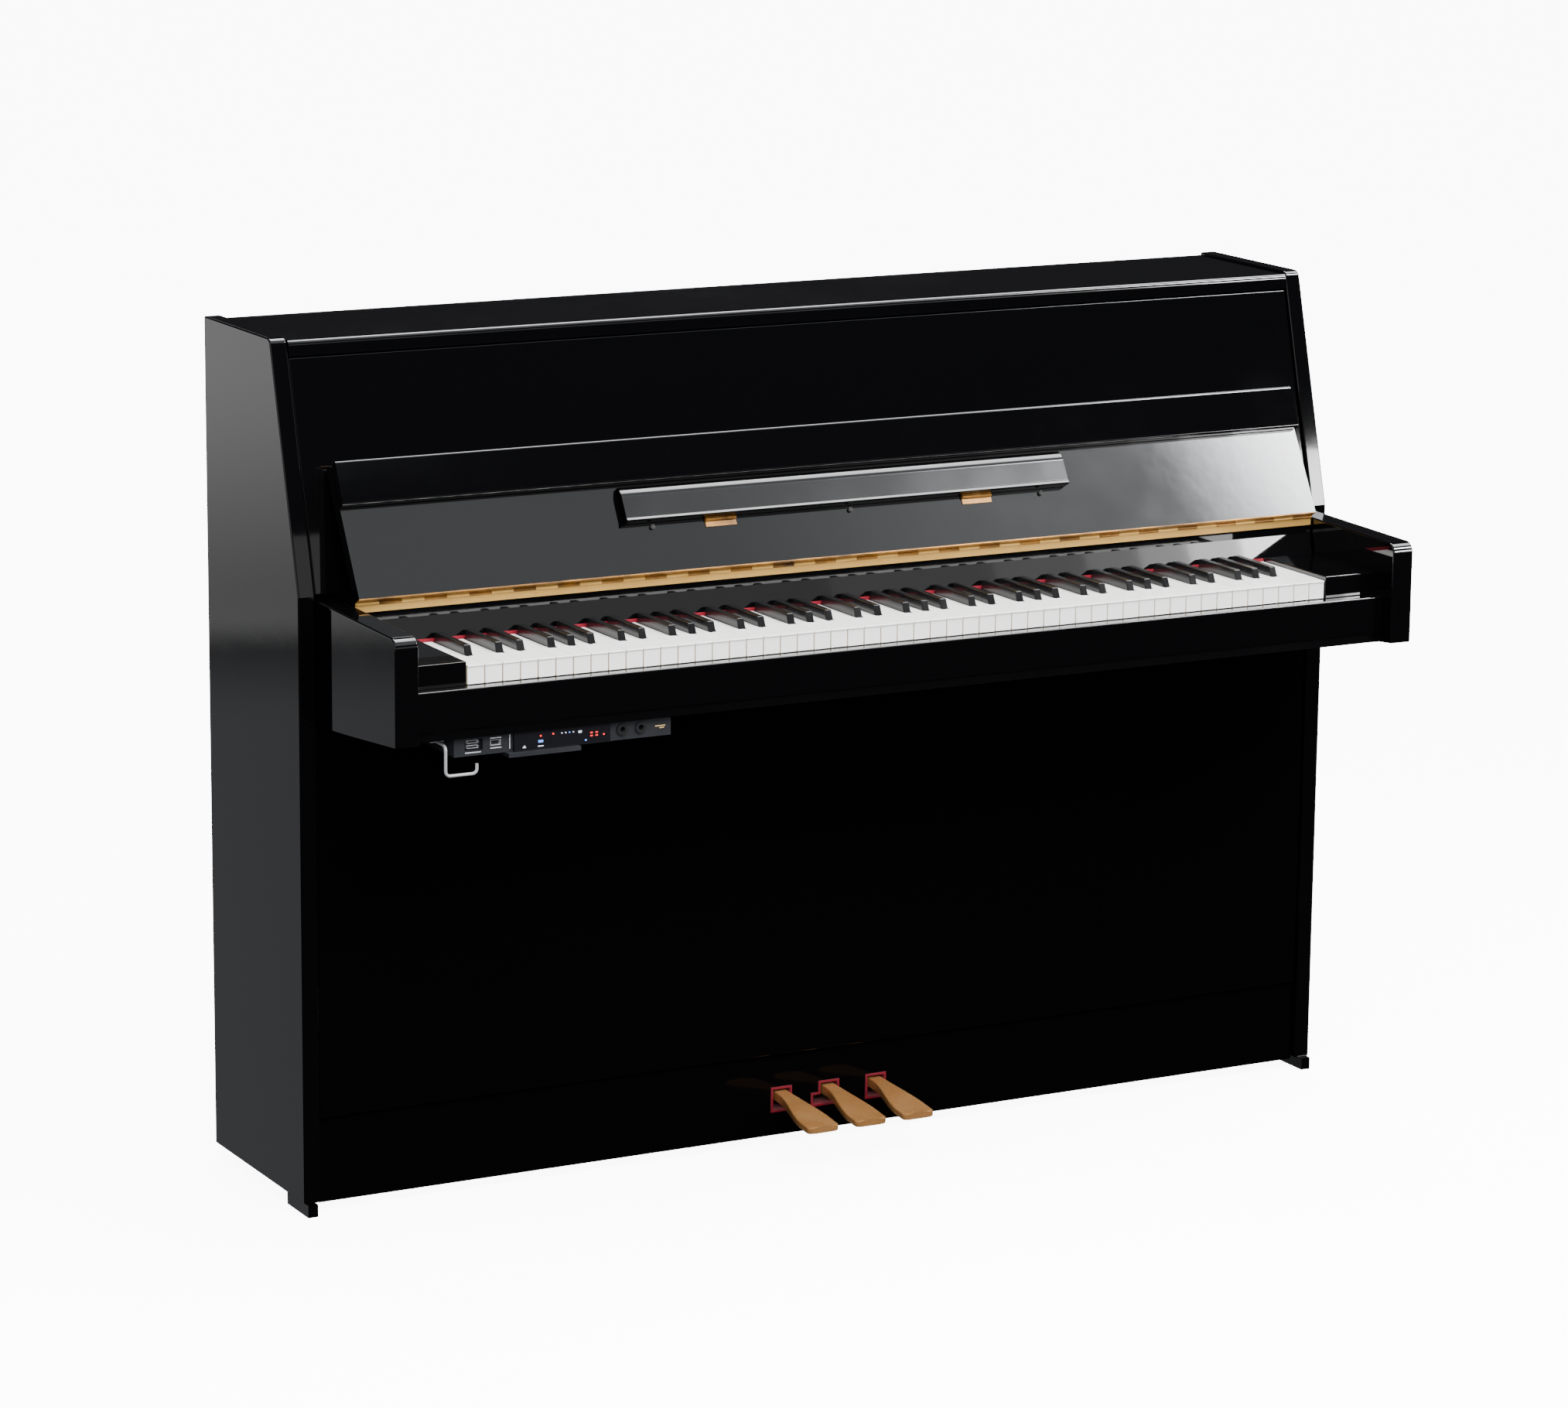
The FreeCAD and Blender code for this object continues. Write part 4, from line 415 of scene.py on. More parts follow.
def sharp_centre(octave, letter):
    """Sharps stand on even divisions: five keys over C to E and seven over F to B."""
    if letter in "CD":
        return octave + {"C": 1.5, "D": 3.5}[letter] * 3 * pitch / 5
    return octave + 3 * pitch + {"F": 1.5, "G": 3.5, "A": 5.5}[letter] * 4 * pitch / 7


def add_stick(mesh, middle, front, half):
    """A key's spruce stick behind its cover, with the capstan screw near its tail."""
    top = key_top - stick_drop
    add_box(mesh, (middle - half, front, key_low), (middle + half, key_tail, top), 1, 0.0005, 1)
    ring = [(middle + capstan_radius * math.cos(a * math.pi / 6),
             capstan_y + capstan_radius * math.sin(a * math.pi / 6)) for a in range(12)]
    add_plate(mesh, ring, top - 0.001, top + capstan_rise, 2, 0.0006, 2)


def add_natural(mesh, index, left_sharp, right_sharp):
    x0 = keys_left + index * pitch + key_gap / 2
    x1 = x0 + pitch - key_gap
    side = sharp_wide / 2 + sharp_room
    t0 = x0 if left_sharp is None else left_sharp + side
    t1 = x1 if right_sharp is None else right_sharp - side
    outline = [(x0, key_front), (x1, key_front), (x1, head_rear)]
    if right_sharp is not None:
        outline.append((t1, head_rear))
    outline += [(t1, seen_rear + cover_tuck), (t0, seen_rear + cover_tuck)]
    if left_sharp is not None:
        outline.append((t0, head_rear))
    outline.append((x0, head_rear))
    add_plate(mesh, outline, key_top - cover_thick, key_top, 0, 0.0007, 3)
    plate_front = key_front + front_lip
    add_box(mesh, (x0 + stick_shrink, plate_front, key_low + 0.0004),
            (x1 - stick_shrink, plate_front + front_plate, key_top - cover_thick + 0.0004), 0, 0.0004, 2)
    add_box(mesh, (x0 + stick_shrink, plate_front + front_plate, key_low),
            (x1 - stick_shrink, head_rear - 0.0004, key_top - cover_thick), 1, 0.0005, 1)
    add_box(mesh, (t0 + stick_shrink, head_rear - 0.001, key_low),
            (t1 - stick_shrink, seen_rear + 0.003, key_top - cover_thick), 1, 0.0004, 1)
    add_stick(mesh, (t0 + t1) / 2, seen_rear, natural_stick_half)


def add_sharp(mesh, centre):
    foot = key_top - stick_drop
    crown = key_top + sharp_rise
    half = sharp_wide / 2
    base = [(centre - half, sharp_front, foot), (centre + half, sharp_front, foot),
            (centre + half, seen_rear, foot), (centre - half, seen_rear, foot)]
    narrow = half - sharp_taper
    slope_end = sharp_front + sharp_slope
    top = [(centre - narrow, slope_end, crown), (centre + narrow, slope_end, crown),
           (centre + narrow, seen_rear, crown), (centre - narrow, seen_rear, crown)]
    add_prism(mesh, base, top, 0, 0.0011, 4)
    add_box(mesh, (centre - half + 0.0005, sharp_front + 0.0008, key_low),
            (centre + half - 0.0005, seen_rear, foot), 1, 0.0004, 1)
    add_stick(mesh, centre, seen_rear - 0.002, sharp_stick_half)


key_meshes = {n: bmesh.new() for n in sorted(set(NATURAL_NODES.values()) | set(SHARP_NODES.values()))}
for index in range(NATURAL_COUNT):
    step = (index + FIRST_LETTER) % 7
    letter = LETTERS[step]
    before = LETTERS[step - 1]
    octave = keys_left + (index - step) * pitch
    right = sharp_centre(octave, letter) if letter in SHARP_NODES and index < NATURAL_COUNT - 1 else None
    lower = octave if letter != "C" else octave - 7 * pitch
    left = sharp_centre(lower, before) if before in SHARP_NODES and index > 0 else None
    add_natural(key_meshes[NATURAL_NODES[letter]], index, left, right)
    if right is not None:
        add_sharp(key_meshes[SHARP_NODES[letter]], right)
for name, mesh in key_meshes.items():
    natural = name in NATURAL_NODES.values()
    cover = natural_white if natural else sharp_black
    made = piece_of("piano_" + name, mesh, name, [cover, key_spruce, capstan_brass])
    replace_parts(made, name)


# ---------------------------------------------------------------------------
# Action: beech rails and wippens, hammers with white felt heads and dampers with felt blocks.
# It stands on the key bed behind the front panel.
# ---------------------------------------------------------------------------
def felt_effect():
    """Matted fibres: short noisy strands at two scales."""
    tree, given, made = effect("felt_fibres", [
        ("Light", "Color", (0.5, 0.02, 0.05, 1)), ("Dark", "Color", (0.3, 0.01, 0.02, 1)),
        ("Grain", "Float", 900.0)], [("Color", "Color"), ("Roughness", "Float"), ("Height", "Float")])
    place = node(tree, "TexCoord").outputs["Object"]
    strands = node(tree, "TexNoise", Vector=place, Scale=given.outputs["Grain"], Detail=4, Roughness=0.75,
                   Distortion=2.0).outputs["Fac"]
    tufts = node(tree, "TexNoise", Vector=place, Scale=110, Detail=3).outputs["Fac"]
    both = node(tree, "Math", operation="MULTIPLY_ADD", in0=strands, in1=0.6, in2=node(
        tree, "Math", operation="MULTIPLY", in0=tufts, in1=0.4).outputs[0]).outputs[0]
    shade = node(tree, "MapRange", Value=both, From_Min=0.35, From_Max=0.65).outputs[0]
    colour = node(tree, "MixRGB", Fac=shade, Color1=given.outputs["Dark"], Color2=given.outputs["Light"])
    rough = node(tree, "MapRange", Value=strands, To_Min=0.85, To_Max=1.0)
    tree.links.new(colour.outputs[0], made.inputs["Color"])
    tree.links.new(rough.outputs[0], made.inputs["Roughness"])
    tree.links.new(both, made.inputs["Height"])
    return tree


FELT_FIBRES = felt_effect()


def felt(name, light, dark, sheen):
    made = finish_of(name, Sheen_Weight=sheen, Sheen_Roughness=0.4)
    return use_effect(made, FELT_FIBRES, bump=0.6, distance=0.0006, Light=(*light, 1), Dark=(*dark, 1))


action_beech = wood("action_beech", (0.70, 0.50, 0.31), (0.54, 0.35, 0.19), ALONG_X, 0.5)
dress(action_beech, "action_frame", "wippens")
hammer_wool = felt("hammer_wool", (0.86, 0.84, 0.76), (0.74, 0.71, 0.62), 0.4)
dress(hammer_wool, "hammers", "dampers")


# ---------------------------------------------------------------------------
# Nameboard felt: a strip of crimson felt glued along the foot of the nameboard, behind the keys.
# Its lower edge is left soft and slightly uneven.
# ---------------------------------------------------------------------------
def close_rings(mesh, rings):
    """Skins a row of equal rings and closes both ends."""
    for a, b in zip(rings, rings[1:]):
        for k in range(len(a)):
            n = (k + 1) % len(a)
            mesh.faces.new((a[k], a[n], b[n], b[k]))
    mesh.faces.new(rings[0])
    mesh.faces.new(list(reversed(rings[-1])))


crimson_felt = felt("crimson_felt", (0.17, 0.003, 0.013), (0.09, 0.0015, 0.006), 0.1)
felt_low, felt_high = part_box("nameboard_felt")
STRIP_STEPS = 240
deepest_sag = 0.0005
strip = bmesh.new()
random.seed(7)
rows = []
for i in range(STRIP_STEPS + 1):
    x = felt_low.x + (felt_high.x - felt_low.x) * i / STRIP_STEPS
    sag = random.uniform(0.0, deepest_sag)
    ring = [(x, felt_high.y, felt_low.z + sag), (x, felt_low.y + 0.0004, felt_low.z + sag + 0.0004),
            (x, felt_low.y + 0.0011, felt_low.z + 0.004), (x, felt_high.y - 0.0002, felt_high.z),
            (x, felt_high.y, felt_high.z)]
    rows.append([strip.verts.new(p) for p in ring])
close_rings(strip, rows)
key_felt = piece_of("crimson_key_felt", strip, "case", [crimson_felt], crease=60)
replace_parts(key_felt, "nameboard_felt")


# ---------------------------------------------------------------------------
# Hinges: rolled brass strip, polished and lacquered. The fallboard, lip and shelf leaves carry a painted
# reflection:
# darker brass with brown mottling than the rail's leaf, which takes small slotted countersunk screws.
# ---------------------------------------------------------------------------
rail_brass = metal("rail_brass", (0.62, 0.37, 0.10), (0.52, 0.29, 0.07), (1, 60, 60), patch=5, smooth=0.24,
                   rough=0.38, bare=0.45)
dress(rail_brass, "case_hinge_leaves", "hinge_pins", "lid_hinge_leaves")
# Painted reflection: dark brown mottled brass stands in for the reflection seen on the fallboard, lip and shelf
# leaves.
aged_brass = metal("aged_brass", (0.31, 0.14, 0.024), (0.05, 0.02, 0.005), (1, 60, 60), patch=22, smooth=0.2,
                   rough=0.34, bare=0.5)
dress(aged_brass, "fallboard_leaves", "lip_leaf", "shelf_leaves")
fall_lean = math.radians(29)
fall_up = Vector((0, math.sin(fall_lean), math.cos(fall_lean)))
fall_out = Vector((0, -math.cos(fall_lean), math.sin(fall_lean)))
fall_origin = next(Vector(j["pos_m"]) for j in frame["joints"] if j["name"] == "fallboard_hinge")
fall_face = 0.003
fall_low, fall_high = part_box("fallboard")
leaf_foot = 0.0058
leaf_head = 0.0138
leaf_thick = 0.0005
leaf_inset = 0.004
leaf_sunk = 0.0001


def on_fallboard(x, along, out):
    return (x, *(fall_origin + fall_up * along + fall_out * out).yz)


leaf = bmesh.new()
leaf_left = fall_low.x + leaf_inset
leaf_right = fall_high.x - leaf_inset
corners = [(leaf_left, leaf_foot), (leaf_right, leaf_foot), (leaf_right, leaf_head), (leaf_left, leaf_head)]
add_prism(leaf, [on_fallboard(x, along, fall_face - leaf_sunk) for x, along in corners],
          [on_fallboard(x, along, fall_face + leaf_thick) for x, along in corners], 0, 0.00015, 1)
# This leaf is painted with the dark mottled brass that stands in for a reflection.
piece_of("fallboard_hinge_leaf", leaf, "fallboard", [aged_brass])

screw_low, screw_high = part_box("hinge_screws")
SCREW_COUNT = 20
ARC_STEPS = 8
screw_radius = 0.002
slot_half = 0.00022
half_wide = 0.0017
half_tall = 0.0018
screw_pitch = (screw_high.x - screw_low.x - 2 * screw_radius) / (SCREW_COUNT - 1)
screw_z = (screw_low.z + screw_high.z) / 2
screws = bmesh.new()
for k in range(SCREW_COUNT):
    x = screw_low.x + screw_radius + k * screw_pitch
    tilt = random.uniform(-0.5, 0.5)
    c, s = math.cos(tilt), math.sin(tilt)
    for side in (-1, 1):
        half_disc = []
        for a in range(ARC_STEPS + 1):
            turn = math.pi * (a / ARC_STEPS) - math.pi / 2
            u = side * (slot_half + half_wide * math.cos(turn))
            v = half_tall * math.sin(turn)
            half_disc.append((x + u * c - v * s, screw_z + u * s + v * c))
        near = [(u, screw_low.y, v) for u, v in half_disc]
        far = [(u, screw_high.y, v) for u, v in half_disc]
        add_prism(screws, near, far, 0, 0.00012, 1)
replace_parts(piece_of("hinge_screw_heads", screws, "case", [rail_brass]), "hinge_screws")


# ---------------------------------------------------------------------------
# Music shelf: a flat moulding with a bead along its lower edge and a rolled upper edge, hinged near the
# bead to the fallboard and finished in the same polish.
# ---------------------------------------------------------------------------
shelf_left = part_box("music_shelf")[0].x
shelf_start = 0.067
shelf_deep = 0.047
shelf_back = 0.0145
shelf_bead = 0.013
shelf_face = 0.0112
roll_radius = 0.019
roll_turn = math.radians(52)
ROLL_STEPS = 10
END_STEPS = 6
end_round = 0.004
end_thin = 0.72
section = [(0.0, 0.0), (0.0, shelf_bead - 0.0014), (0.0004, shelf_bead - 0.0004), (0.0014, shelf_bead),
           (0.0026, shelf_bead - 0.0004), (0.0036, shelf_bead - 0.0011), (0.0046, shelf_bead - 0.0016),
           (0.0062, shelf_face)]
roll_start = shelf_deep - roll_radius * math.sin(roll_turn)
for k in range(ROLL_STEPS + 1):
    turn = roll_turn * k / ROLL_STEPS
    section.append((roll_start + roll_radius * math.sin(turn),
                    shelf_face - roll_radius * (1 - math.cos(turn))))
section.append((shelf_deep, 0.0))
stations = []
for k in range(END_STEPS + 1):
    swell = math.sin(math.pi / 2 * k / END_STEPS)
    stations.append((shelf_left + end_round * (1 - swell), end_thin + (1 - end_thin) * swell))
stations += [(-x, s) for x, s in reversed(stations)]
shelf = bmesh.new()
rows = []
for x, scale in stations:
    ring = []
    for along, out in section:
        point = fall_origin + fall_up * (shelf_start + along) + fall_out * (shelf_back + out * scale)
        ring.append(shelf.verts.new((x, point.y, point.z)))
    rows.append(ring)
close_rings(shelf, rows)
shelf_polish = polish("shelf_polish", gloss=0.08, ripple=0.02)
moulding = piece_of("moulded_music_shelf", shelf, "shelf", [shelf_polish], crease=40)
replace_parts(moulding, "music_shelf")


# ---------------------------------------------------------------------------
# Rubber: small bumpers under the shelf and behind the fallboard, and the tyres of the rear casters.
# Moulded black rubber with a matt, slightly dusty skin.
# ---------------------------------------------------------------------------
bumper_rubber = moulded("bumper_rubber", (0.016, 0.016, 0.016), (0.035, 0.034, 0.032), 0.6, 0.85,
                        grain=700, bump=0.35)
dress(bumper_rubber, "rubber_buttons", "caster_wheel_left", "caster_wheel_right")


# ---------------------------------------------------------------------------
# Pedals: cast brass, ground smooth and lacquered: a squared neck that widens to a broad toe with a
# rounded nose. Each pivots in a bracket and works a beech rod.
# ---------------------------------------------------------------------------
pedal_brass = metal("pedal_brass", (0.50, 0.25, 0.09), (0.42, 0.19, 0.06), (50, 1, 50), patch=26, smooth=0.2,
                    rough=0.36, bump=0.12, bare=0.62)
RING_STEPS = 24
PEDAL_STATIONS = 44
neck_half = 0.0093
neck_end = -0.012
nose_radius = 0.007
neck_thick = 0.0138
toe_thinner = 0.0043
toe_drop = 0.0165
toe_crown = 0.0008
SIDE_POWER = 0.28
FACE_POWER = 0.24


def smooth_step(share):
    share = min(max(share, 0.0), 1.0)
    return share * share * (3 - 2 * share)


def pedal_piece(name, body):
    """A lever made of squared rings from its pivot to its nose; the toe is wider, lower and thinner."""
    low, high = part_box(body)
    centre = (low.x + high.x) / 2
    toe_half = (high.x - low.x) / 2
    mesh = bmesh.new()
    rings = []
    for k in range(PEDAL_STATIONS + 1):
        share = k / PEDAL_STATIONS
        y = high.y + (low.y - high.y) * (1 - (1 - share) ** 1.6)
        out = (neck_end - y) / (neck_end - low.y)
        swell = smooth_step((out - 0.10) / 0.72)
        half = neck_half + (toe_half - neck_half) * swell
        top = high.z - 0.0005 - toe_drop * smooth_step(out * 0.92)
        thick = neck_thick - toe_thinner * smooth_step(out)
        left = low.y + nose_radius - y
        if left > 0:
            inset = nose_radius - math.sqrt(max(nose_radius * nose_radius - left * left, 0.0))
            half -= inset * 1.25
            thick -= min(inset * 0.25, 0.0012)
        ring = []
        for a in range(RING_STEPS):
            turn = 2 * math.pi * a / RING_STEPS
            c, s = math.cos(turn), math.sin(turn)
            u = math.copysign(abs(c) ** SIDE_POWER, c) * half
            v = math.copysign(abs(s) ** FACE_POWER, s) * thick / 2
            crown = toe_crown * (1 - (u / half) ** 2) * swell if s > 0 else 0
            ring.append(mesh.verts.new((centre + u, y, top - thick / 2 + v * 0.98 + crown - 0.0004)))
        rings.append(ring)
    close_rings(mesh, rings)
    made = piece_of(name, mesh, body, [pedal_brass], crease=50)
    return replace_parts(made, body)


for which in ("soft", "mute", "sustain"):
    pedal_piece("brass_pedal_" + which, "pedal_" + which)
rod_beech = wood("rod_beech", (0.68, 0.50, 0.32), (0.52, 0.35, 0.20), ALONG_Z, 0.55)
dress(rod_beech, "pedal_rod_soft", "pedal_rod_mute", "pedal_rod_sustain")
dress(crimson_felt, "pedal_collars")


# ---------------------------------------------------------------------------
# Control unit: a moulded grey housing under the key bed with ports on its left and two headphone
# sockets on its right; a steel hook beside it holds the headphones.
# ---------------------------------------------------------------------------
unit_grey = moulded("unit_grey", (0.011, 0.012, 0.014), (0.016, 0.017, 0.020), 0.42, 0.6, grain=1400,
                    bump=0.4)
port_black = moulded("port_black", (0.008, 0.008, 0.009), (0.014, 0.014, 0.015), 0.3, 0.5)
print_grey = moulded("print_grey", (0.42, 0.44, 0.46), (0.34, 0.36, 0.38), 0.5, 0.6)
print_gold = moulded("print_gold", (0.55, 0.38, 0.16), (0.46, 0.31, 0.12), 0.4, 0.55)
port_steel = metal("port_steel", (0.62, 0.63, 0.66), (0.48, 0.49, 0.52), (1, 40, 40), bare=0.5)
dress(unit_grey, "control_unit")
hook_steel = metal("hook_steel", (0.70, 0.71, 0.73), (0.52, 0.52, 0.54), (40, 40, 40), smooth=0.10,
                   rough=0.24, bare=0.6)
dress(hook_steel, "headphone_hook")
dress(port_black, "control_jacks")


def add_ring(mesh, centre, radius, tube, slot=0, steps=36, sides=8):
    """A round wire ring that faces the player."""
    rings = []
    for i in range(steps):
        turn = 2 * math.pi * i / steps
        ring = []
        for j in range(sides):
            around = 2 * math.pi * j / sides
            reach = radius + tube * math.cos(around)
            ring.append(mesh.verts.new((centre.x + reach * math.cos(turn), centre.y + tube * math.sin(around),
                                        centre.z + reach * math.sin(turn))))
        rings.append(ring)
    for i in range(steps):
        a = rings[i]
        b = rings[(i + 1) % steps]
        for j in range(sides):
            n = (j + 1) % sides
            mesh.faces.new((a[j], a[n], b[n], b[j])).material_index = slot


def add_frame(mesh, low, high, wall, near, far, slot=0):
    """A thin squared sleeve, given by two corners (x, z) and its depth."""
    (x0, z0), (x1, z1) = low, high
    for a, b in (((x0, z0), (x1, z0 + wall)), ((x0, z1 - wall), (x1, z1)),
                 ((x0, z0 + wall), (x0 + wall, z1 - wall)), ((x1 - wall, z0 + wall), (x1, z1 - wall))):
        add_box(mesh, (a[0], near, a[1]), (b[0], far, b[1]), slot, 0.0001, 1)


spaces = {space["name"]: space["box_m"] for space in frame["record"]["physics"]["openings"]}
line_low, line_high = spaces["line_port"]
data_low, data_high = spaces["data_port"]
port_deep = 0.0076
port_floor = line_high[1]
unit_face = port_floor - port_deep
unit_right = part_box("control_unit")[1].x
plug_rise = 0.0031
plug_half = 0.0018
plug_inset = 0.004
tongue_half = 0.0005
tongue_inset = 0.007
sleeve_out = 0.0004
STEEL, DARK, PALE, GOLD = 0, 1, 2, 3
fittings = bmesh.new()
line_mid = (line_low[2] + line_high[2]) / 2
for rise in (plug_rise, -plug_rise):
    mid = line_mid + rise
    add_frame(fittings, (line_low[0] + plug_inset, mid - plug_half),
              (line_high[0] - plug_inset, mid + plug_half), 0.0004, unit_face + 0.003, port_floor, STEEL)
    add_box(fittings, (line_low[0] + tongue_inset, unit_face + 0.004, mid - tongue_half),
            (line_high[0] - tongue_inset, port_floor, mid + tongue_half), DARK, 0.0001, 1)
add_frame(fittings, (data_low[0] - sleeve_out, data_low[2] - sleeve_out),
          (data_high[0] + sleeve_out, data_high[2] + sleeve_out), 0.0006, unit_face + 0.0006, port_floor,
          STEEL)
add_box(fittings, (data_low[0] + 0.0022, unit_face + 0.002, data_low[2] + 0.0018),
        (data_high[0] - 0.0022, port_floor, data_high[2] - 0.0022), DARK, 0.0002, 1)
print_rise = 0.00015
print_half = 0.0006
sunk = 0.0002
for x0, x1, z, colour in ((line_low[0], line_high[0] - 0.002, line_low[2] - 0.0028, PALE),
                          (data_low[0] - 0.001, data_high[0] + 0.001, data_high[2] + 0.0030, PALE),
                          (data_low[0] - 0.001, data_high[0] + 0.001, data_low[2] - 0.0032, PALE),
                          (unit_right - 0.0215, unit_right - 0.0075, line_mid - 0.0006, GOLD),
                          (unit_right - 0.0155, unit_right - 0.0095, line_mid - 0.0032, GOLD)):
    add_box(fittings, (x0, unit_face - print_rise, z - print_half), (x1, unit_face + sunk, z + print_half),
            colour)
display_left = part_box("control_display")[0].x
add_box(fittings, (display_left - 0.0052, unit_face - 0.0004, line_mid - 0.0095),
        (display_left - 0.0040, unit_face + sunk, line_mid + 0.0085), PALE, 0.0002, 1)
jack_low, jack_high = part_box("control_jacks")
collar = (jack_high.z - jack_low.z) / 2
socket_radius = 0.0040
for x in (jack_low.x + collar, jack_high.x - collar):
    add_ring(fittings, Vector((x, jack_low.y + 0.0006, jack_low.z + collar)), collar - 0.0012, 0.0006, STEEL)
    add_ring(fittings, Vector((x, jack_low.y + 0.0009, jack_low.z + collar)), socket_radius, 0.0005, STEEL)
piece_of("unit_fittings", fittings, "case", [port_steel, port_black, print_grey, print_gold])


# ---------------------------------------------------------------------------
# Display: a glossy black touch panel with small lit marks behind the glass.
# It is clipped into the front of the unit and stands a little proud of it.
# ---------------------------------------------------------------------------
panel_low, panel_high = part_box("control_display")
glass = bmesh.new()
add_box(glass, (panel_low.x, panel_low.y + 0.0004, panel_low.z), panel_high, 0, 0.0008, 3)
display_glass = moulded("display_glass", (0.005, 0.005, 0.006), (0.007, 0.007, 0.009), 0.05, 0.12, grain=200,
                        bump=0.02, Coat_Weight=0.6, Coat_Roughness=0.03)
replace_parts(piece_of("touch_display", glass, "case", [display_glass]), "control_display")


def lit(name, colour, strength):
    """A small lamp behind the glass, a little uneven over its face."""
    made = finish_of(name, Roughness=0.4, Emission_Strength=strength)
    tree = made.node_tree
    shader = tree.nodes["Principled BSDF"]
    place = node(tree, "TexCoord").outputs["Object"]
    glow = node(tree, "TexNoise", Vector=place, Scale=1500, Detail=1).outputs["Fac"]
    shade = node(tree, "MixRGB", Fac=glow, Color1=(*colour, 1), Color2=(*[c * 0.7 for c in colour], 1))
    tree.links.new(shade.outputs[0], shader.inputs["Emission Color"])
    tree.links.new(shade.outputs[0], shader.inputs["Base Color"])
    return made


lit_red = lit("lit_red", (0.95, 0.02, 0.02), 1.6)
lit_blue = lit("lit_blue", (0.10, 0.28, 0.90), 1.4)
lit_white = lit("lit_white", (0.62, 0.70, 0.85), 0.9)
RED, BLUE, WHITE = 0, 1, 2
# Marks as shares of the panel's width and, downwards, of its height: (across, down, width, height, colour).
MARKS = (
    (0.10, 0.75, 0.016, 0.05, WHITE), (0.10, 0.82, 0.034, 0.04, WHITE), (0.27, 0.29, 0.018, 0.09, RED),
    (0.27, 0.57, 0.050, 0.13, BLUE), (0.27, 0.82, 0.060, 0.05, WHITE), (0.40, 0.25, 0.018, 0.09, RED),
    (0.49, 0.26, 0.014, 0.06, WHITE), (0.53, 0.26, 0.014, 0.06, WHITE), (0.57, 0.26, 0.014, 0.06, BLUE),
    (0.61, 0.26, 0.014, 0.06, WHITE), (0.68, 0.29, 0.036, 0.11, WHITE), (0.74, 0.76, 0.018, 0.08, BLUE),
    (0.80, 0.40, 0.026, 0.07, RED), (0.80, 0.56, 0.026, 0.07, RED), (0.855, 0.40, 0.026, 0.07, RED),
    (0.855, 0.56, 0.026, 0.07, RED), (0.93, 0.55, 0.018, 0.08, RED))
marks = bmesh.new()
wide = panel_high.x - panel_low.x
tall = panel_high.z - panel_low.z
for across, down, w, h, colour in MARKS:
    x = panel_low.x + across * wide
    z = panel_high.z - down * tall
    add_box(marks, (x - w * wide / 2, panel_low.y + 0.0002, z - h * tall / 2),
            (x + w * wide / 2, panel_low.y + 0.0006, z + h * tall / 2), colour, 0.0001, 1)
piece_of("display_marks", marks, "case", [lit_red, lit_blue, lit_white])


# ---------------------------------------------------------------------------
# Studio: a pale lit floor and a white backdrop, soft-edged windows for the polish to mirror, soft boxes
# above and in front, a row of panels for the nameboard to mirror, and the camera.
# ---------------------------------------------------------------------------
FLOOR_REACH = 30
floor_mesh = bmesh.new()
bmesh.ops.create_grid(floor_mesh, x_segments=2, y_segments=2, size=FLOOR_REACH)
floor_data = bpy.data.meshes.new("studio_floor")
floor_mesh.to_mesh(floor_data)
floor_mesh.free()
floor = bpy.data.objects.new("studio_floor", floor_data)
bpy.context.scene.collection.objects.link(floor)
floor_data.materials.append(finish_of("pale_floor", Base_Color=(0.93, 0.93, 0.93, 1), Roughness=0.9,
                                      Emission_Color=(1, 1, 1, 1), Emission_Strength=9.0))
floor.visible_glossy = False
floor.visible_diffuse = False

world = bpy.data.worlds.new("studio")
bpy.context.scene.world = world
world.use_nodes = True
sky = world.node_tree
sky.nodes.clear()
heading = node(sky, "SeparateXYZ", in0=node(sky, "TexCoord").outputs["Generated"])
rise_of = node(sky, "Math", operation="ARCSINE", in0=heading.outputs["Z"]).outputs[0]
ahead_of = node(sky, "Math", operation="MULTIPLY", in0=heading.outputs["Y"], in1=-1.0).outputs[0]
turn_of = node(sky, "Math", operation="ARCTAN2", in0=heading.outputs["X"], in1=ahead_of).outputs[0]


def within(amount, middle, half, blur):
    """One inside half of the middle, falling to nought over the blur; all in degrees."""
    off = node(sky, "Math", operation="SUBTRACT", in0=amount, in1=math.radians(middle)).outputs[0]
    off = node(sky, "Math", operation="ABSOLUTE", in0=off).outputs[0]
    return node(sky, "MapRange", interpolation_type="SMOOTHSTEP", Value=off, From_Min=math.radians(half),
                From_Max=math.radians(half + blur), To_Min=1.0, To_Max=0.0).outputs[0]


def soft_window(turn, rise, colour, strength):
    """A soft-edged light in the surroundings; turn and rise are (middle, half, blur)."""
    both = node(sky, "Math", operation="MULTIPLY", in0=within(turn_of, *turn), in1=within(rise_of, *rise))
    level = node(sky, "Math", operation="MULTIPLY", in0=both.outputs[0], in1=strength).outputs[0]
    return node(sky, "VectorMath", operation="SCALE", in0=colour, Scale=level).outputs[0]


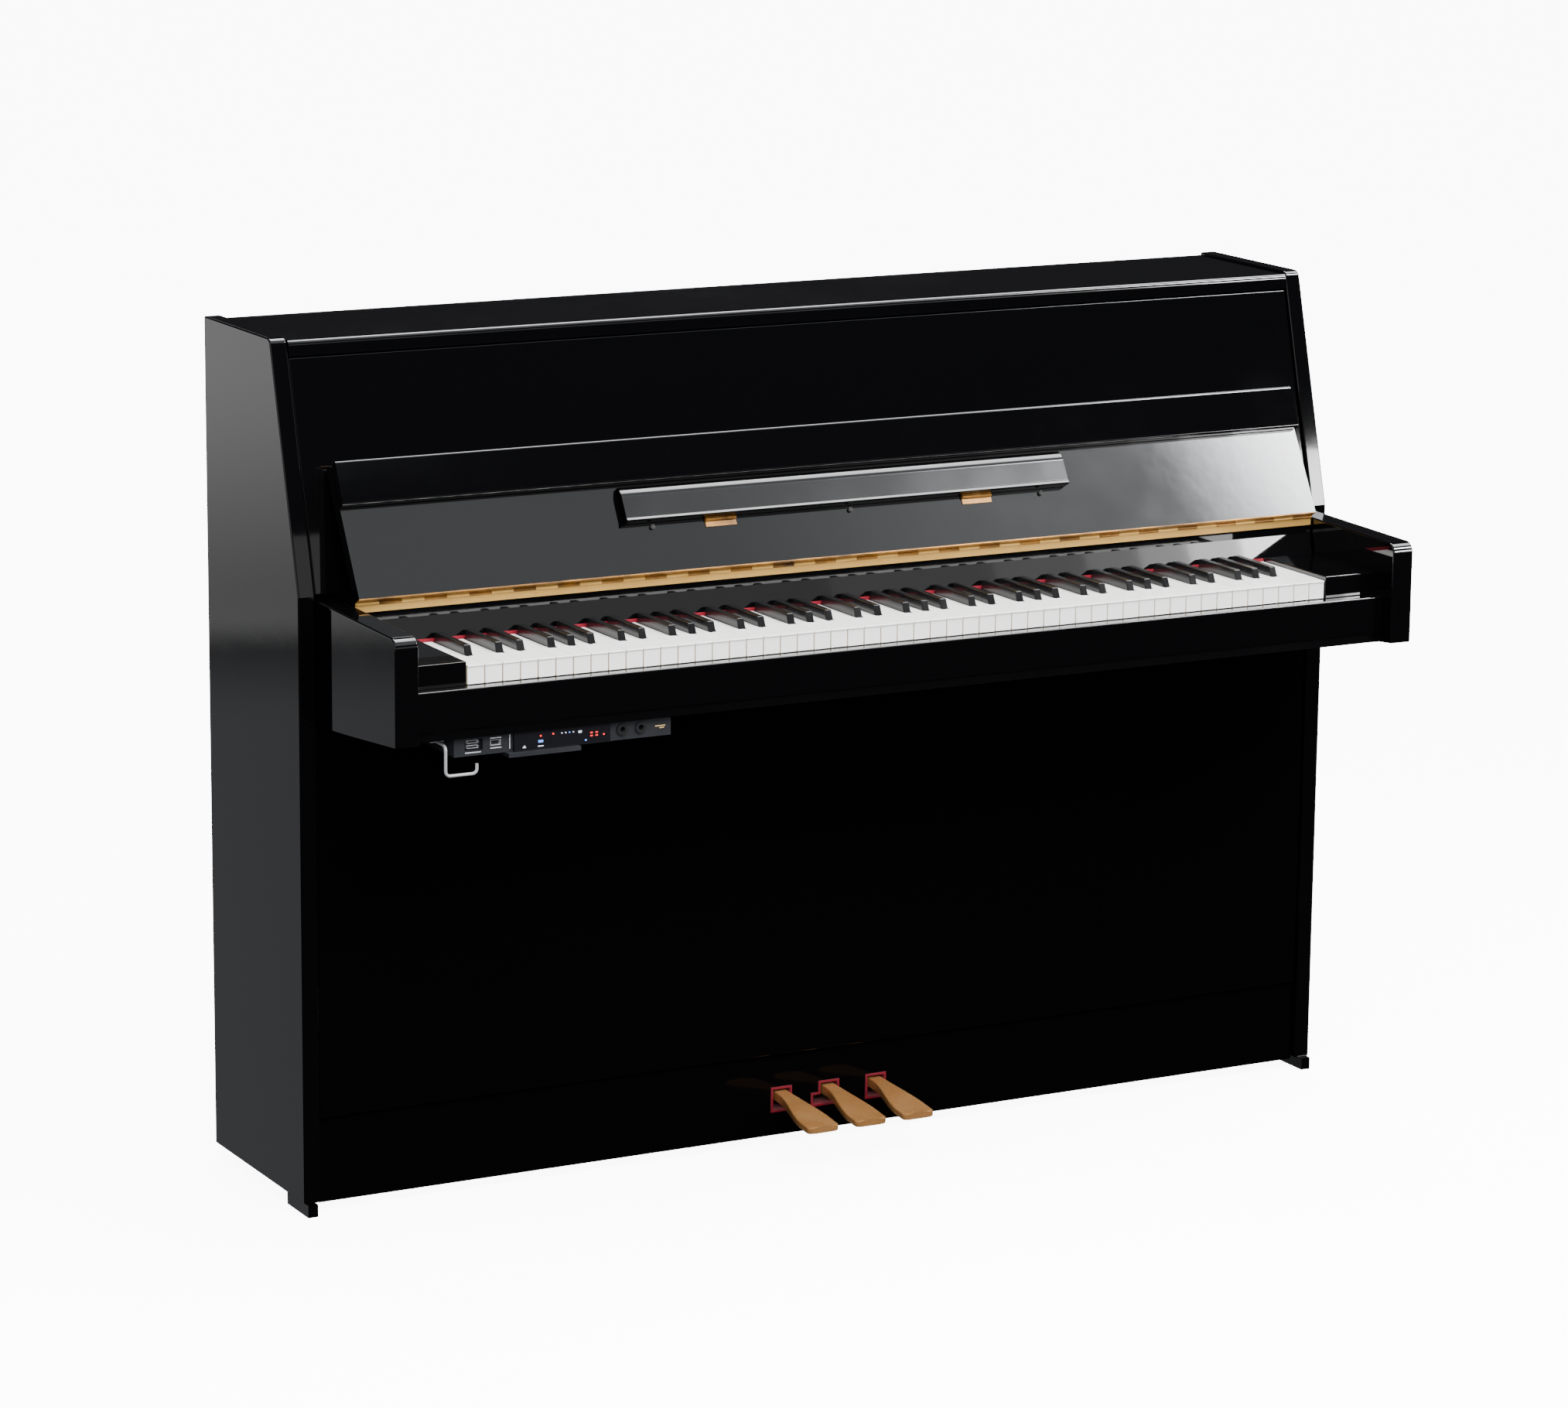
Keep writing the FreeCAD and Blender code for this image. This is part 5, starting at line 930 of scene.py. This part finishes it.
# Turn is measured from straight ahead of the piano towards its right, rise from the floor.
windows = [
    soft_window((36, 50, 20), (52, 14.5, 2.5), (0.93, 0.98, 1.0), 1.0),
    soft_window((42, 1.5, 5), (40, 4, 3), (0.94, 0.97, 1.0), 0.8),
    soft_window((46.2, 0.8, 3.6), (39, 2.2, 4), (0.95, 0.97, 1.0), 105),
    soft_window((96, 20, 16), (61, 4, 7), (1.0, 1.0, 1.0), 12),
    soft_window((-157.7, 10, 4), (-6, 5.5, 0.4), (1.0, 1.0, 1.0), 0.33),
    soft_window((-157.7, 10, 4), (-5, 3.4, 3.2), (1.0, 1.0, 1.0), 0.45),
    soft_window((-157.7, 10, 4), (-22, 9.3, 1.6), (0.94, 0.96, 1.0), 0.19),
    soft_window((157, 5, 5), (12, 1.2, 1.4), (0.95, 0.95, 1.0), 1.0),
    soft_window((155, 25, 15), (66, 5, 6), (1.0, 1.0, 1.0), 18),
    soft_window((-75, 30, 30), (20, 10, 25), (1.0, 1.0, 1.0), 0.6),
    soft_window((95, 20, 15), (20, 10, 15), (1.0, 1.0, 1.0), 0.5),
]
total = (0.02, 0.02, 0.022)
for window in windows:
    total = node(sky, "VectorMath", operation="ADD", in0=total, in1=window).outputs[0]
seen = node(sky, "Background", Color=(1, 1, 1, 1), Strength=12.0).outputs[0]
lights = node(sky, "Background", Color=total, Strength=1.0).outputs[0]
direct = node(sky, "LightPath").outputs["Is Camera Ray"]
mixed = node(sky, "MixShader", Fac=direct, in1=lights, in2=seen).outputs[0]
sky.links.new(mixed, node(sky, "OutputWorld").inputs["Surface"])


def soft_box(name, at, aim, wide, tall, power, glossy=False):
    light = bpy.data.lights.new(name, "AREA")
    light.shape = "RECTANGLE"
    light.size = wide
    light.size_y = tall
    light.energy = power
    made = bpy.data.objects.new(name, light)
    made.location = at
    made.rotation_euler = (Vector(aim) - Vector(at)).to_track_quat("-Z", "Y").to_euler()
    made.visible_camera = False
    made.visible_glossy = glossy
    bpy.context.scene.collection.objects.link(made)
    return made


soft_box("overhead_box", (0.3, -1.4, 3.4), (0, 0, 0.6), 4.0, 3.0, 420)
soft_box("front_box", (-1.6, -3.6, 2.2), (0, 0, 0.6), 2.5, 2.0, 190)
# Panels stand side by side: (left edge, right edge, watts for each square metre), brighter to the right.
NAMEBOARD_PANELS = [(0.0, 1.4, 1.7), (1.4, 1.75, 2.5), (1.75, 1.95, 4), (1.95, 2.07, 7), (2.07, 2.18, 14),
                    (2.18, 2.3, 35), (2.3, 2.85, 95)]
panel_y = -2.65
panel_z = 1.42
panel_tall = 0.62
for left, right, watts_per_area in NAMEBOARD_PANELS:
    middle = (left + right) / 2
    width = right - left
    soft_box("nameboard_box", (middle, panel_y, panel_z), (middle, 0, panel_z), width, panel_tall,
             watts_per_area * width * panel_tall, glossy=True)

camera_place = (-3.2061, -5.8614, 2.05)
camera_data = bpy.data.cameras.new("camera")
camera = bpy.data.objects.new("camera", camera_data)
bpy.context.scene.collection.objects.link(camera)
bpy.context.scene.camera = camera
camera_yaw = 0.4924
camera_pitch = -0.2166
camera_roll = 0.0095
ahead = Vector((math.sin(camera_yaw) * math.cos(camera_pitch), math.cos(camera_yaw) * math.cos(camera_pitch),
                math.sin(camera_pitch)))
level = Vector((math.cos(camera_yaw), -math.sin(camera_yaw), 0))
upright = level.cross(ahead)
right = level * math.cos(camera_roll) + upright * math.sin(camera_roll)
up = -level * math.sin(camera_roll) + upright * math.cos(camera_roll)
facing = Matrix((right, up, -ahead)).transposed().to_4x4()
camera.matrix_world = Matrix.Translation(camera_place) @ facing
camera_data.sensor_width = 36
camera_data.lens = 121.9
camera_data.shift_y = -0.002
camera_data.clip_end = 100
